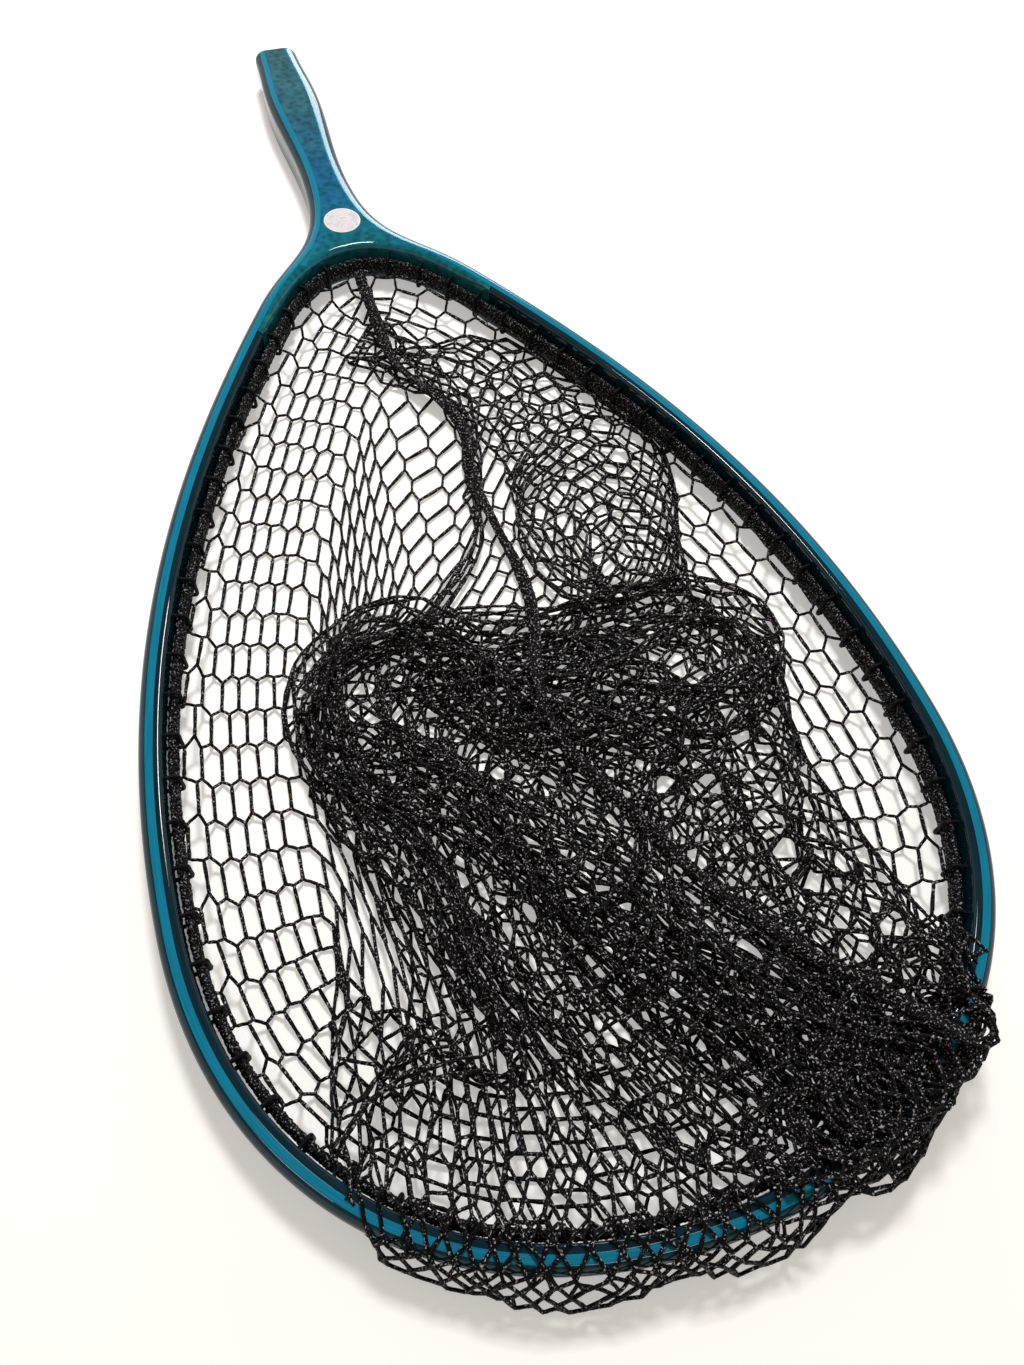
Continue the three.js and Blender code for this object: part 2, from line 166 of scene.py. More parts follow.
looking = (CAMERA_AIM - CAMERA_PLACE).normalized()
level = looking.cross(Vector((0, 0, 1))).normalized()
upright = level.cross(looking)
right = level * math.cos(CAMERA_ROLL) + upright * math.sin(CAMERA_ROLL)
camera = bpy.data.objects.new("camera", bpy.data.cameras.new("camera"))
camera.matrix_world = Matrix((right, right.cross(looking), -looking)).transposed().to_4x4()
camera.location = CAMERA_PLACE
camera.data.sensor_width = SENSOR
camera.data.lens = SENSOR * FOCAL_PIXELS / IMAGE_HEIGHT
camera.data.clip_start = NEAREST_SEEN
bpy.context.scene.collection.objects.link(camera)
bpy.context.scene.camera = camera
print("lens", round(camera.data.lens, 2), "mm")

# %% [markdown]
# The table is a plain white sheet. It takes the object's shadow as any surface does, and a little
# glow that only the camera and reflections see lifts it to white without more light on the net.

# %% Table
TABLE_SIZE = 6.0
TABLE_GLOW = 0.40
TABLE_GAP = 0.0002


def seen_directly(tree):
    """1 for rays from the camera, from reflections and through glass, and 0 for light."""
    path = add(tree, "ShaderNodeLightPath").outputs
    seen = path["Is Camera Ray"]
    for kind in ("Is Glossy Ray", "Is Transmission Ray"):
        seen = add(tree, "ShaderNodeMath", {0: seen, 1: path[kind]}, operation="MAXIMUM")
    return seen


table_paint, tree, shader = new_material("white table laminate")
glow = add(tree, "ShaderNodeMath", {0: seen_directly(tree), 1: TABLE_GLOW}, operation="MULTIPLY")
feed(shader, {"Base Color": linear("e9e7e3"), "Roughness": 0.6,
              "Emission Color": linear("ffffff"), "Emission Strength": glow})
half = TABLE_SIZE / 2
corners = [(-half, -half, 0), (half, -half, 0), (half, half, 0), (-half, half, 0)]
table = mesh_object("table", corners, [(0, 1, 2, 3)], table_paint)
table.location.z = -TABLE_GAP
print("table", TABLE_SIZE, "m wide")

# %% [markdown]
# Lacquer shows what is around it, so the lights are few, and each stands where its picture falls
# on the frame. The key lamp hangs above, behind and to the right: it draws the netting's shadow on
# the table and a bright line on the throat of the handle. A low window to the right and behind
# runs along the right edge of the handle. The world is dim and a little warm, as the shadows are,
# but the camera and the lacquer see a studio in it, with white walls and a dim ceiling.

# %% Lights
LAMPS = [("key", (0.20, 0.52, 1.25), (0, -0.05, 0), (0.26, 0.26), 13.5),
         ("window", (0.73, 1.67, 0.60), (0, 0.25, 0), (0.45, 0.60), 6.5)]
WORLD_LEVEL = 0.32
WALLS_SEEN = 1.0
CEILING_SEEN = 0.2
WALLS_END = math.radians(20)
CEILING_START = math.radians(38)

for name, place, aim, sides, power in LAMPS:
    lamp = bpy.data.objects.new(name, bpy.data.lights.new(name, "AREA"))
    lamp.data.shape = "RECTANGLE"
    lamp.data.size, lamp.data.size_y = sides
    lamp.data.energy = power
    lamp.location = place
    lamp.rotation_euler = (Vector(aim) - Vector(place)).to_track_quat("-Z", "Y").to_euler()
    bpy.context.scene.collection.objects.link(lamp)

world = bpy.data.worlds.new("studio")
bpy.context.scene.world = world
world.use_nodes = True
tree = world.node_tree
tree.nodes.clear()
seen = seen_directly(tree)
way = add(tree, "ShaderNodeTexCoord").outputs["Generated"]
rise = add(tree, "ShaderNodeSeparateXYZ", {0: way}).outputs["Z"]
room = add(tree, "ShaderNodeMapRange", {
    "Value": rise, "From Min": math.sin(WALLS_END), "From Max": math.sin(CEILING_START),
    "To Min": WALLS_SEEN, "To Max": CEILING_SEEN})
strength = add(tree, "ShaderNodeMapRange", {"Value": seen, "To Min": WORLD_LEVEL, "To Max": room})
tint = add(tree, "ShaderNodeMix", {0: seen, MIX_A: linear("ffe9d0"), MIX_B: linear("ffffff")},
           data_type="RGBA")
sky = add(tree, "ShaderNodeBackground", {"Color": tint.outputs[MIXED], "Strength": strength})
add(tree, "ShaderNodeOutputWorld", {"Surface": sky})
bpy.context.scene.view_settings.view_transform = "Standard"

# %% [markdown]
# The outline of the frame is five bends from the tip to the butt, drawn once for the right side
# and mirrored. Each bend is a cubic curve that leaves its two ends in a set direction.

# %% Outline of the frame
TOTAL_LENGTH = 610
TIP_POINT = np.array((0.0, 0.0))
WIDEST = np.array((146.5, 141.0))
SHOULDER = np.array((51.0, 418.5))
WAIST = np.array((10.6, 508.0))
GRIP = np.array((13.5, 565.0))
BUTT = np.array((11.3, TOTAL_LENGTH))
SHOULDER_LEAN = math.radians(33)
UP = np.array((0.0, 1.0))
ACROSS = np.array((1.0, 0.0))
SLOPE = np.array((-math.sin(SHOULDER_LEAN), math.cos(SHOULDER_LEAN)))
BENDS = [(TIP_POINT, 88 * ACROSS, 85 * UP, WIDEST), (WIDEST, 114 * UP, 91 * SLOPE, SHOULDER),
         (SHOULDER, 39 * SLOPE, 60 * UP, WAIST), (WAIST, 18 * UP, 18 * UP, GRIP),
         (GRIP, 18 * UP, 18 * UP, BUTT)]
OUTLINE_STEP = 1.5


def bend(start, run_out, run_in, end, count=200):
    """Points on a cubic curve; the runs are the way it leaves the start and reaches the end."""
    t = np.linspace(0, 1, count)[:, None]
    return ((1 - t) ** 3 * start + 3 * (1 - t) ** 2 * t * (start + run_out)
            + 3 * (1 - t) * t ** 2 * (end - run_in) + t ** 3 * end)


def chain(*runs):
    """Runs of points one after another, with the shared ends kept once."""
    return np.concatenate([runs[0]] + [run[1:] for run in runs[1:]])


def lengths(points):
    """Distance along a line of points."""
    return np.concatenate([[0], np.cumsum(np.linalg.norm(np.diff(points, axis=0), axis=1))])


def evenly(points, count):
    """The same line as evenly spaced points."""
    known = lengths(points)
    along = np.linspace(0, known[-1], count)
    return np.stack([np.interp(along, known, points[:, k]) for k in range(points.shape[1])], 1)


def left_turned(points):
    """Unit vectors to the left of a line that is walked from its first point."""
    ahead = np.gradient(points, axis=0)
    ahead /= np.linalg.norm(ahead, axis=1)[:, None]
    return np.stack([-ahead[:, 1], ahead[:, 0]], 1)


half_outline = chain(*[bend(*run) for run in BENDS])
half_length = lengths(half_outline)[-1]
half_outline = evenly(half_outline, round(half_length / OUTLINE_STEP))
half_inward = left_turned(half_outline)
half_inward[0] = UP
half_along = lengths(half_outline)


def on_outline(along):
    """Points of half of the outline and the ways inward there, at distances from the tip."""
    return [np.stack([np.interp(along, half_along, v[:, k]) for k in range(2)], -1)
            for v in (half_outline, half_inward)]


print("half of the outline is", round(half_length, 1), "mm long")

# %% [markdown]
# The finished frame is rounded after gluing, so the rounding runs over all the strips at once:
# wide outside, where the hand and the fish touch it, and small inside. On the handle it is wider
# still. The height of the section is a formula of the depth from the outer face.

# %% Section of the frame
FRAME_HEIGHT = 20
MID_HEIGHT = FRAME_HEIGHT / 2
STRIP = 2.7
GLUE = 0.3
GLUE_SHOWN = 0.08
WALL_DEPTH = 3 * STRIP + 2 * GLUE
BLOCK_DEPTH = 2 * (STRIP + GLUE)
EDGE_DROP = 4.0
HANDLE_EDGE_WIDTH = 7.0
INNER_ROUNDING = 1.5
BUTT_CORNER = 5
BUTT_ROUNDING = 2.5
HORN_HEIGHT = 403.3
HANDLE_FULL_HEIGHT = 470


def ease(t):
    """A smooth step from 0 to 1."""
    t = np.clip(t, 0, 1)
    return t * t * (3 - 2 * t)


def fall_back(width, drop, distance):
    """How far an elliptic round edge has fallen at a distance in from its side."""
    inside = 1 - np.clip(distance / width, 0, 1)
    return drop * (1 - np.sqrt(1 - inside ** 2))


def half_height(depth, handle_share, to_butt):
    """Half of the frame's height at a depth, a share of the way to the handle and near the butt."""
    width = EDGE_DROP + (HANDLE_EDGE_WIDTH - EDGE_DROP) * handle_share
    return (MID_HEIGHT - fall_back(width, EDGE_DROP, depth)
            - fall_back(INNER_ROUNDING, INNER_ROUNDING, WALL_DEPTH - depth) * (1 - handle_share)
            - fall_back(BUTT_ROUNDING, BUTT_ROUNDING, to_butt))


print("wall", WALL_DEPTH, "mm deep, glue lines drawn", GLUE_SHOWN, "mm wide")

# %% [markdown]
# Dyed and lacquered wood. The dye soaks in along the fibres, so each strip is streaked along its
# length, and the thick gloss lacquer over it gives sharp, mirror-like reflections of the lights.
# The streaks follow the strip through its own map: metres along the strip and metres round it.

# %% Lacquered wood
STREAK_LENGTH = 24 * MM
STREAK_WIDTH = 0.5 * MM
LACQUER = {"Coat Weight": 1.0, "Coat Roughness": 0.03, "Coat IOR": 1.38, "Specular IOR Level": 0.0}


def dyed_strip(name, dark, light):
    """A strip whose dye runs in fine streaks between two colours."""
    material, tree, shader = new_material(name)
    place = add(tree, "ShaderNodeUVMap", uv_map="along")
    stretched = add(tree, "ShaderNodeMapping", {
        "Vector": place, "Scale": (1 / STREAK_LENGTH, 1 / STREAK_WIDTH, 1)})
    streaks = add(tree, "ShaderNodeTexNoise", {
        "Vector": stretched, "Scale": 1.0, "Detail": 4.0, "Roughness": 0.6})
    colour = add(tree, "ShaderNodeValToRGB", {"Fac": streaks}, stops=[(0.3, dark), (0.7, light)])
    feed(shader, {"Base Color": colour, "Roughness": 0.4, **LACQUER})
    return material


# The outer strip's dark teal is partly its dye and partly painted shade: it also stands for the shade and
# the dark reflection on the rounded outer edge, which turns away from the lights.
outer_wood = dyed_strip("teal dyed ash darkened as painted shade, lacquered", "06202a", "0f3f4d")
middle_wood = dyed_strip("bright blue dyed ash, lacquered", "087090", "0f8cb0")
inner_wood = dyed_strip("deep blue dyed ash, lacquered", "041c26", "0a323e")
print("woods:", outer_wood.name, "|", middle_wood.name, "|", inner_wood.name)

# %% [markdown]
# Each strip is one section carried along the outline: down the left side, round the tip and up
# the right side. A curve with a bevel can't change its section on the way, so the rings of points
# are worked out here, and the two ends are closed with flat lids.

# %% The three strips
RING_STEPS = 9
END_STEPS = np.array((12, 9, 6, 4, 2.5, 1.8, 1.2, 0.7, 0.3, 0.1, 0))


def rings_object(name, rings, material):
    """An object skinned over rings of points in millimetres, with a flat lid at each end."""
    rings = np.asarray(rings)
    count = rings.shape[1]
    station, around = np.meshgrid(np.arange(len(rings) - 1), np.arange(count), indexing="ij")
    a, b = station * count + around, station * count + (around + 1) % count
    quads = np.stack([a, b, b + count, a + count], -1).reshape(-1, 4).tolist()
    last = (len(rings) - 1) * count
    lids = [list(range(count))[::-1], list(range(last, last + count))]
    return mesh_object(name, in_frame(rings.reshape(-1, 3)), quads, material, lids=lids)


def strip_stations(top):
    """Distances along half of the outline, closer together near the butt."""
    along = np.linspace(0, half_length, len(half_outline))
    if top < half_length:
        return np.append(along[along < top - OUTLINE_STEP / 2], top)
    return np.concatenate([along[along < half_length - END_STEPS[0] - 1], half_length - END_STEPS])


def strip_piece(name, depth_from, depth_to, top, material):
    """A strip between two depths, from the butt or the horn joint of one side to the other."""
    along = strip_stations(top)
    points, inward = on_outline(along)
    ahead = np.stack([inward[:, 1], -inward[:, 0]], 1)
    turn = np.linspace(0, math.pi / 2, RING_STEPS)
    shares = np.concatenate([(1 - np.cos(turn)) / 2, 1 - (1 - np.cos(turn[::-1])) / 2])
    depths = depth_from + (depth_to - depth_from) * np.unique(np.round(shares, 6))
    to_butt = (half_length - along)[:, None]
    near_butt = np.clip(1 - to_butt / END_STEPS[0], 0, 1)
    corner = fall_back(BUTT_CORNER, BUTT_CORNER, depths)[None] * near_butt
    handle_share = ease((points[:, 1:] - HORN_HEIGHT) / (HANDLE_FULL_HEIGHT - HORN_HEIGHT))
    rise = half_height(depths[None], handle_share, to_butt)
    flat = (points[:, None] + depths[None, :, None] * inward[:, None]
            - corner[..., None] * ahead[:, None])
    lower = np.concatenate([flat, (MID_HEIGHT - rise)[..., None]], 2)
    upper = np.concatenate([flat, (MID_HEIGHT + rise)[..., None]], 2)
    rings = np.concatenate([lower, upper[:, ::-1]], 1)
    rings = np.concatenate([rings[:0:-1] * (-1, 1, 1), rings])
    count = rings.shape[1]
    piece = rings_object(name, rings, material)
    travelled = np.concatenate([-along[:0:-1], along]) * MM
    round_it = lengths(np.concatenate([rings[0], rings[0][:1]])) * MM
    layer = piece.data.uv_layers.new(name="along")
    for place, loop in zip(layer.data, piece.data.loops):
        station, around = divmod(loop.vertex_index, count)
        place.uv = (travelled[station], round_it[around])
    return piece


horn_along = float(np.interp(HORN_HEIGHT, half_outline[:, 1], half_along))
step_in = STRIP + GLUE
spare = (GLUE - GLUE_SHOWN) / 2
for layer, depth_from, depth_to, top, wood in (
        ("outer", 0, STRIP + spare, half_length, outer_wood),
        ("middle", step_in - spare, step_in + STRIP + spare, half_length, middle_wood),
        ("inner", 2 * step_in - spare, WALL_DEPTH, horn_along, inner_wood)):
    strip = strip_piece(layer + "_strip", depth_from, depth_to, top, wood)
    as_piece(strip, layer + "_strip", layer + "_lamination")

# %% [markdown]
# Burl is the knotted wood of a growth on the trunk: no straight grain, only swirls and eyes. The
# colours run from green-blue at the throat over blue at the neck to a greyer teal at the butt:
# partly dye that took unevenly, and partly painted sheen, the grey haze that the crowned grip
# mirrors. A soft noise bends this set of colours along the handle, with brown specks on top. The
# lacquer was brushed on, and its fine waves fray the edges of the reflections.

# %% Burl wood
SWIRL = 14 * MM
EYES = 2.8 * MM
SPECKS = 1.6 * MM
BRUSH_WAVE = 1.0 * MM
BRUSH_LIFT = 0.04 * MM
DYE_AND_SHEEN_FROM = 0.10
DYE_AND_SHEEN_TO = 0.31

burl_wood, tree, shader = new_material("dyed maple burl, lacquered")
place = add(tree, "ShaderNodeTexCoord").outputs["Object"]
swirl = add(tree, "ShaderNodeTexNoise", {
    "Vector": place, "Scale": 1 / SWIRL, "Detail": 5.0, "Distortion": 1.2})
height = add(tree, "ShaderNodeSeparateXYZ", {0: place}).outputs["Y"]
reach = add(tree, "ShaderNodeMapRange", {"Value": height, "From Min": DYE_AND_SHEEN_FROM, "From Max": DYE_AND_SHEEN_TO})
drifting = add(tree, "ShaderNodeMath", {0: swirl, 1: 0.5, 2: -0.25}, operation="MULTIPLY_ADD")
reach = add(tree, "ShaderNodeMath", {0: reach, 1: drifting}, operation="ADD")
# Dye and painted sheen: the greyer teal of the last stops stands partly for the grey reflection on the
# grip.
dye = add(tree, "ShaderNodeValToRGB", {"Fac": reach}, stops=[
    (0.0, "0f7a80"), (0.25, "0f7a92"), (0.45, "1872a4"), (0.7, "2a7082"), (1.0, "346e7c")])
eyes = add(tree, "ShaderNodeTexVoronoi", {"Vector": place, "Scale": 1 / EYES}, feature="SMOOTH_F1")
mottle = add(tree, "ShaderNodeMath", {0: eyes, 1: swirl}, operation="MULTIPLY")
shade = add(tree, "ShaderNodeValToRGB", {"Fac": mottle}, stops=[
    (0.05, "9aa8aa"), (0.22, "d2dcdd"), (0.4, "fbfdfb")])
dyed = add(tree, "ShaderNodeMix", {0: 1.0, MIX_A: dye, MIX_B: shade},
           data_type="RGBA", blend_type="MULTIPLY")
speck = add(tree, "ShaderNodeTexNoise", {"Vector": place, "Scale": 1 / SPECKS, "Detail": 3.0})
brown = add(tree, "ShaderNodeMapRange", {"Value": speck, "From Min": 0.70, "From Max": 0.78})
specked = add(tree, "ShaderNodeMix", {0: brown, MIX_A: dyed.outputs[MIXED], MIX_B: linear("241d1c")},
              data_type="RGBA")
waves = add(tree, "ShaderNodeTexNoise", {"Vector": place, "Scale": 1 / BRUSH_WAVE, "Detail": 1.0})
brushed = add(tree, "ShaderNodeBump", {"Height": waves, "Distance": BRUSH_LIFT, "Strength": 0.5})
feed(shader, {"Base Color": specked.outputs[MIXED], "Roughness": 0.45, "Coat Normal": brushed,
              **LACQUER})
print("made", burl_wood.name)

# %% [markdown]
# The handle block fills the space between the strips, from two thin horns beside the mouth of the
# net to the butt. It is drawn as a stack of rings: the glued sides stay upright, while the throat
# and the butt roll back under the lacquer. A round pocket is cut in it for the inlay.

# %% Handle block
THROAT_HEIGHT = 444
THROAT_RUN = 22
THROAT_POINTS = 60
HORN_RUN = 30
HORN_FADE = 12
THROAT_ROUNDING = 3.0
GLUED_POINTS = 160
EDGE_RINGS = 8
INLAY_HEIGHT = 463.5
INLAY_RADIUS = 8.8
INLAY_THICKNESS = 1.6
INLAY_SIDES = 96
CUT_PAST = 5
LEVEL_FACE = 0.999

horn_point, horn_inward = on_outline(horn_along)
horn_foot = horn_point + WALL_DEPTH * horn_inward
horn_ahead = np.array((horn_inward[1], -horn_inward[0]))
throat_middle = np.array((0.0, THROAT_HEIGHT))
throat = bend(horn_foot, HORN_RUN * horn_ahead, -THROAT_RUN * ACROSS, throat_middle, THROAT_POINTS)
throat_inward = left_turned(throat)
throat_inward[-1] = -UP


def block_piece(name, material):
    """The burl block as rings of points from its underside to its top."""
    side, inward = on_outline(np.linspace(horn_along, half_length, GLUED_POINTS))
    side = side + (BLOCK_DEPTH - spare) * inward
    near_butt = np.clip(1 - (TOTAL_LENGTH - side[:, 1:]) / END_STEPS[0], 0, 1)
    near_horn = np.minimum(1, np.arange(len(throat)) / HORN_FADE)[:, None]
    roll = 1 - np.cos(np.linspace(0, math.pi / 2, EDGE_RINGS))
    heights = np.concatenate([THROAT_ROUNDING * roll, FRAME_HEIGHT - THROAT_ROUNDING * roll[::-1]])
    rings = []
    for height in heights:
        edge = min(height, FRAME_HEIGHT - height)
        back = fall_back(THROAT_ROUNDING, THROAT_ROUNDING, edge)
        butt_back = fall_back(BUTT_ROUNDING, BUTT_ROUNDING, edge)
        opening = throat - back * near_horn * throat_inward
        glued_side = side - butt_back * near_butt * UP
        right_ring = np.concatenate([opening[::-1], glued_side[1:]])
        ring = np.concatenate([right_ring, right_ring[:0:-1] * (-1, 1)])
        rings.append(np.column_stack([ring, np.full(len(ring), height)]))
    return rings_object(name, rings, material)


def turned(name, profile, material):
    """A round piece about the inlay's centre from (radius, height) points, underside first."""
    angle = np.linspace(0, 2 * math.pi, INLAY_SIDES, endpoint=False)
    rings = [np.column_stack([radius * np.cos(angle), INLAY_HEIGHT + radius * np.sin(angle),
                              np.full(INLAY_SIDES, height)]) for radius, height in profile]
    return rings_object(name, rings, material)


def plain_mesh(piece):
    """Works the piece's modifiers into its mesh and removes them."""
    evaluated = piece.evaluated_get(bpy.context.evaluated_depsgraph_get())
    mesh = bpy.data.meshes.new_from_object(evaluated)
    piece.modifiers.clear()
    piece.data = mesh


def level_faces_flat(piece):
    """Level faces shaded flat, so that a polished top mirrors as one plane."""
    piece.data.set_sharp_from_angle(angle=SHARP_ANGLE)
    for face in piece.data.polygons:
        face.use_smooth = abs(face.normal.z) < LEVEL_FACE


pocket_floor = FRAME_HEIGHT - INLAY_THICKNESS - GLUE_SHOWN
pocket_radius = INLAY_RADIUS + GLUE_SHOWN
handle = block_piece("burl_handle", burl_wood)
cutter = turned("cutter", [(pocket_radius, pocket_floor), (pocket_radius, FRAME_HEIGHT + CUT_PAST)], None)
cut = handle.modifiers.new("pocket", "BOOLEAN")
cut.object = cutter
cut.operation = "DIFFERENCE"
plain_mesh(handle)
bpy.data.objects.remove(cutter)
level_faces_flat(handle)
as_piece(handle, "burl", "handle_block")

# %% [markdown]
# The inlay is a disc of shell, ground flat and set flush. Shell is built in layers thinner than
# light waves, so its white drifts between rose and blue. It has a narrow white rim, which is a
# second material on the same disc. The face is left plain.

# %% Pearl inlay
RIM_WIDTH = 0.7
INLAY_PROUD = 0.05
CHAMFER = 0.1
GROOVE = 0.05
GROOVE_DEPTH = 0.04
LUSTRE = 5 * MM
RIM_GRAIN = 0.8 * MM

pearl, tree, shader = new_material("mother of pearl, polished")
place = add(tree, "ShaderNodeTexCoord").outputs["Object"]
drift = add(tree, "ShaderNodeTexNoise", {
    "Vector": place, "Scale": 1 / LUSTRE, "Detail": 3.0, "Distortion": 2.0})
lustre = add(tree, "ShaderNodeValToRGB", {"Fac": drift}, stops=[
    (0.3, "c9ccdd"), (0.5, "e6e3ea"), (0.65, "e9dfe4"), (0.8, "d6e0e6")])
feed(shader, {"Base Color": lustre, "Roughness": 0.25, "IOR": 1.56, **LACQUER})
rim_white, tree, shader = new_material("white resin")
place = add(tree, "ShaderNodeTexCoord").outputs["Object"]
grains = add(tree, "ShaderNodeTexNoise", {"Vector": place, "Scale": 1 / RIM_GRAIN})
white = add(tree, "ShaderNodeValToRGB", {"Fac": grains}, stops=[(0.3, "e9e9ec"), (0.7, "f8f8f8")])
feed(shader, {"Base Color": white, "Roughness": 0.3, **LACQUER})

low, high = FRAME_HEIGHT - INLAY_THICKNESS, FRAME_HEIGHT + INLAY_PROUD
face_radius = INLAY_RADIUS - RIM_WIDTH
inlay = turned("pearl_inlay", [
    (INLAY_RADIUS - CHAMFER, low), (INLAY_RADIUS, low + CHAMFER), (INLAY_RADIUS, high - CHAMFER),
    (INLAY_RADIUS - CHAMFER, high), (face_radius + GROOVE, high),
    (face_radius, high - GROOVE_DEPTH), (face_radius - GROOVE, high)], rim_white)
level_faces_flat(inlay)
inlay.data.materials.append(pearl)
inlay.data.polygons[-1].material_index = 1
as_piece(inlay, "pearl", "inlay_disc")

# %% [markdown]
# The inside wall of the hoop carries the braid. Its line runs from the middle of the throat down
# the right side, round the tip and back up the left side, and everything that is tied to it,
# down to each cell of the netting, is counted off along this line.

# %% Inside wall
WALL_POINTS = 2000

hoop_side = half_outline[:, 1] <= HORN_HEIGHT
right_wall = chain(half_outline[hoop_side] + WALL_DEPTH * half_inward[hoop_side], throat)
wall = evenly(np.concatenate([right_wall[::-1], right_wall[1:] * (-1, 1)]), WALL_POINTS + 1)[:-1]
wall_ahead = np.roll(wall, -1, 0) - np.roll(wall, 1, 0)
wall_ahead /= np.linalg.norm(wall_ahead, axis=1)[:, None]
wall_inward = np.stack([wall_ahead[:, 1], -wall_ahead[:, 0]], 1)
wall_length = lengths(np.concatenate([wall, wall[:1]]))[-1]


def along_wall(share, depth):
    """Points at shares of the way round the wall, at a depth into the mouth."""
    edge = wall + depth * wall_inward
    edge = np.concatenate([edge, edge[:1]])
    at = (np.asarray(share) % 1.0) * WALL_POINTS
    return np.stack([np.interp(at, np.arange(WALL_POINTS + 1), edge[:, k]) for k in range(2)], -1)


print("inside wall is", round(wall_length, 1), "mm round")

# %% [markdown]
# Cords. The braid and the netting are laid of filament yarn: deep black. Where a bundle of filaments
# turns up to the light it glints silver. The bundles are too fine to model, so these glints are painted:
# a short-waved noise picks light-grey specks in the base colour and lifts the surface; it is drawn a
# little coarser than real filaments.

# %% Cord and twine finishes


def yarn(name, dark, speck, grain, sparse, lift):
    """A fibrous black finish with painted glints, light-grey specks of a set grain, fewer as sparse nears
    1.
    """
    material, tree, shader = new_material(name)
    place = add(tree, "ShaderNodeTexCoord").outputs["Object"]
    fibres = add(tree, "ShaderNodeTexNoise", {"Vector": place, "Scale": 1 / grain, "Detail": 1.0})
    # Light-grey specks in the base colour: painted glints where filaments would catch the light.
    painted_glints = add(tree, "ShaderNodeValToRGB", {"Fac": fibres},
                stops=[(sparse - 0.02, dark), (sparse + 0.06, speck)])
    bump = add(tree, "ShaderNodeBump", {"Height": fibres, "Distance": lift, "Strength": 0.6})
    feed(shader, {"Base Color": painted_glints, "Roughness": 0.6, "Specular IOR Level": 0.12, "Normal": bump})
    return material


# The second colour of each yarn is the colour of its painted glints.
braid_yarn = yarn("black filament braid", "050507", "96989f", 0.7 * MM, 0.62, 0.1 * MM)
tie_yarn = yarn("black waxed tie cord", "070709", "3a3a40", 0.7 * MM, 0.66, 0.08 * MM)
net_yarn = yarn("black twisted nylon twine", "050405", "a8a6ac", 0.8 * MM, 0.625, 0.1 * MM)
print("yarns:", braid_yarn.name, "|", tie_yarn.name, "|", net_yarn.name)

# %% [markdown]
# Braid, ties and netting are each a node tree that works on a guide: lines or points that carry
# the directions the tree needs. These helpers open and close a tree and turn its result into a
# plain mesh.

# %% Helpers for node trees


def new_tree(name, inputs):
    """A geometry tree with named inputs, and the sockets that give their values."""
    tree = bpy.data.node_groups.new(name, "GeometryNodeTree")
    tree.interface.new_socket("Geometry", in_out="INPUT", socket_type="NodeSocketGeometry")
    for label, kind in inputs.items():
        tree.interface.new_socket(label, in_out="INPUT", socket_type="NodeSocket" + kind)
    tree.interface.new_socket("Geometry", in_out="OUTPUT", socket_type="NodeSocketGeometry")
    return tree, add(tree, "NodeGroupInput").outputs


def close_tree(tree, geometry, material):
    """Realises what the tree made, smooths it and gives it its material."""
    whole = add(tree, "GeometryNodeRealizeInstances", {"Geometry": geometry})
    smooth = add(tree, "GeometryNodeSetShadeSmooth", {"Geometry": whole})
    finished = add(tree, "GeometryNodeSetMaterial", {"Geometry": smooth, "Material": material})
    add(tree, "NodeGroupOutput", {0: finished})
    print(tree.name, "tree has", len(tree.nodes), "nodes")


def from_tree(name, source, tree, values):
    """Turns a source object into the plain mesh that a tree makes from it, and renames it."""
    made = source.modifiers.new(tree.name, "NODES")
    made.node_group = tree
    for item in tree.interface.items_tree:
        if item.in_out == "INPUT" and item.name in values:
            made[item.identifier] = values[item.name]
    plain_mesh(source)
    source.name = source.data.name = name
    return source


def guide(name, points, edges, **vectors):
    """Points in millimetres, with edges, that carry named directions for a tree."""
    line = mesh_object(name, in_frame(points), [], edges=edges)
    for label, values in vectors.items():
        layer = line.data.attributes.new(label, "FLOAT_VECTOR", "POINT")
        layer.data.foreach_set("vector", np.ascontiguousarray(values, np.float32).ravel())
    return line


def in_line(count, closed=False):
    """The edges that join points one after another."""
    return [(k, (k + 1) % count) for k in range(count if closed else count - 1)]


print("an open line of 4 points has the edges", in_line(4))

# %% [markdown]
# The braid is a flattened sleeve: six strands wind one way round it and six the other way, and at
# each crossing one passes over and the other under. Every strand is then a formula, an ellipse
# walked round at a steady rate, with a ripple that is high where it passes over. As a node tree it
# is drawn once and used twice, for the head band and for the laced seam of the bag.

# %% Node tree of a braid
STRANDS = 6
MATH = "ShaderNodeMath"
VECTOR_MATH = "ShaderNodeVectorMath"

tree, given = new_tree("flat braided sleeve", {
    "Turns": "Float", "Half width": "Float", "Half depth": "Float", "Lift": "Float",
    "Strand radius": "Float", "Strand sides": "Int", "Point spacing": "Float", "Material": "Material"})
braid_tree = tree
line = add(tree, "GeometryNodeMeshToCurve", {"Mesh": given["Geometry"]})
line = add(tree, "GeometryNodeResampleCurve", {"Curve": line, "Length": given["Point spacing"]},
           mode="LENGTH")
side_way, out_way = [
    add(tree, "GeometryNodeInputNamedAttribute", {"Name": label}, data_type="FLOAT_VECTOR")
    for label in ("side", "out")]
section = add(tree, "GeometryNodeCurvePrimitiveCircle", {
    "Resolution": given["Strand sides"], "Radius": given["Strand radius"]})
woven = add(tree, "GeometryNodeJoinGeometry")
progress = add(tree, "GeometryNodeSplineParameter").outputs["Factor"]
turns_made = add(tree, MATH, {0: progress, 1: given["Turns"]}, operation="MULTIPLY")
turned_by = add(tree, MATH, {0: turns_made, 1: 2 * math.pi}, operation="MULTIPLY")
crossings = add(tree, MATH, {0: turned_by, 1: float(STRANDS)}, operation="MULTIPLY")
over_under = add(tree, MATH, {0: crossings}, operation="COSINE")
ripple = add(tree, MATH, {0: over_under, 1: given["Lift"]}, operation="MULTIPLY")
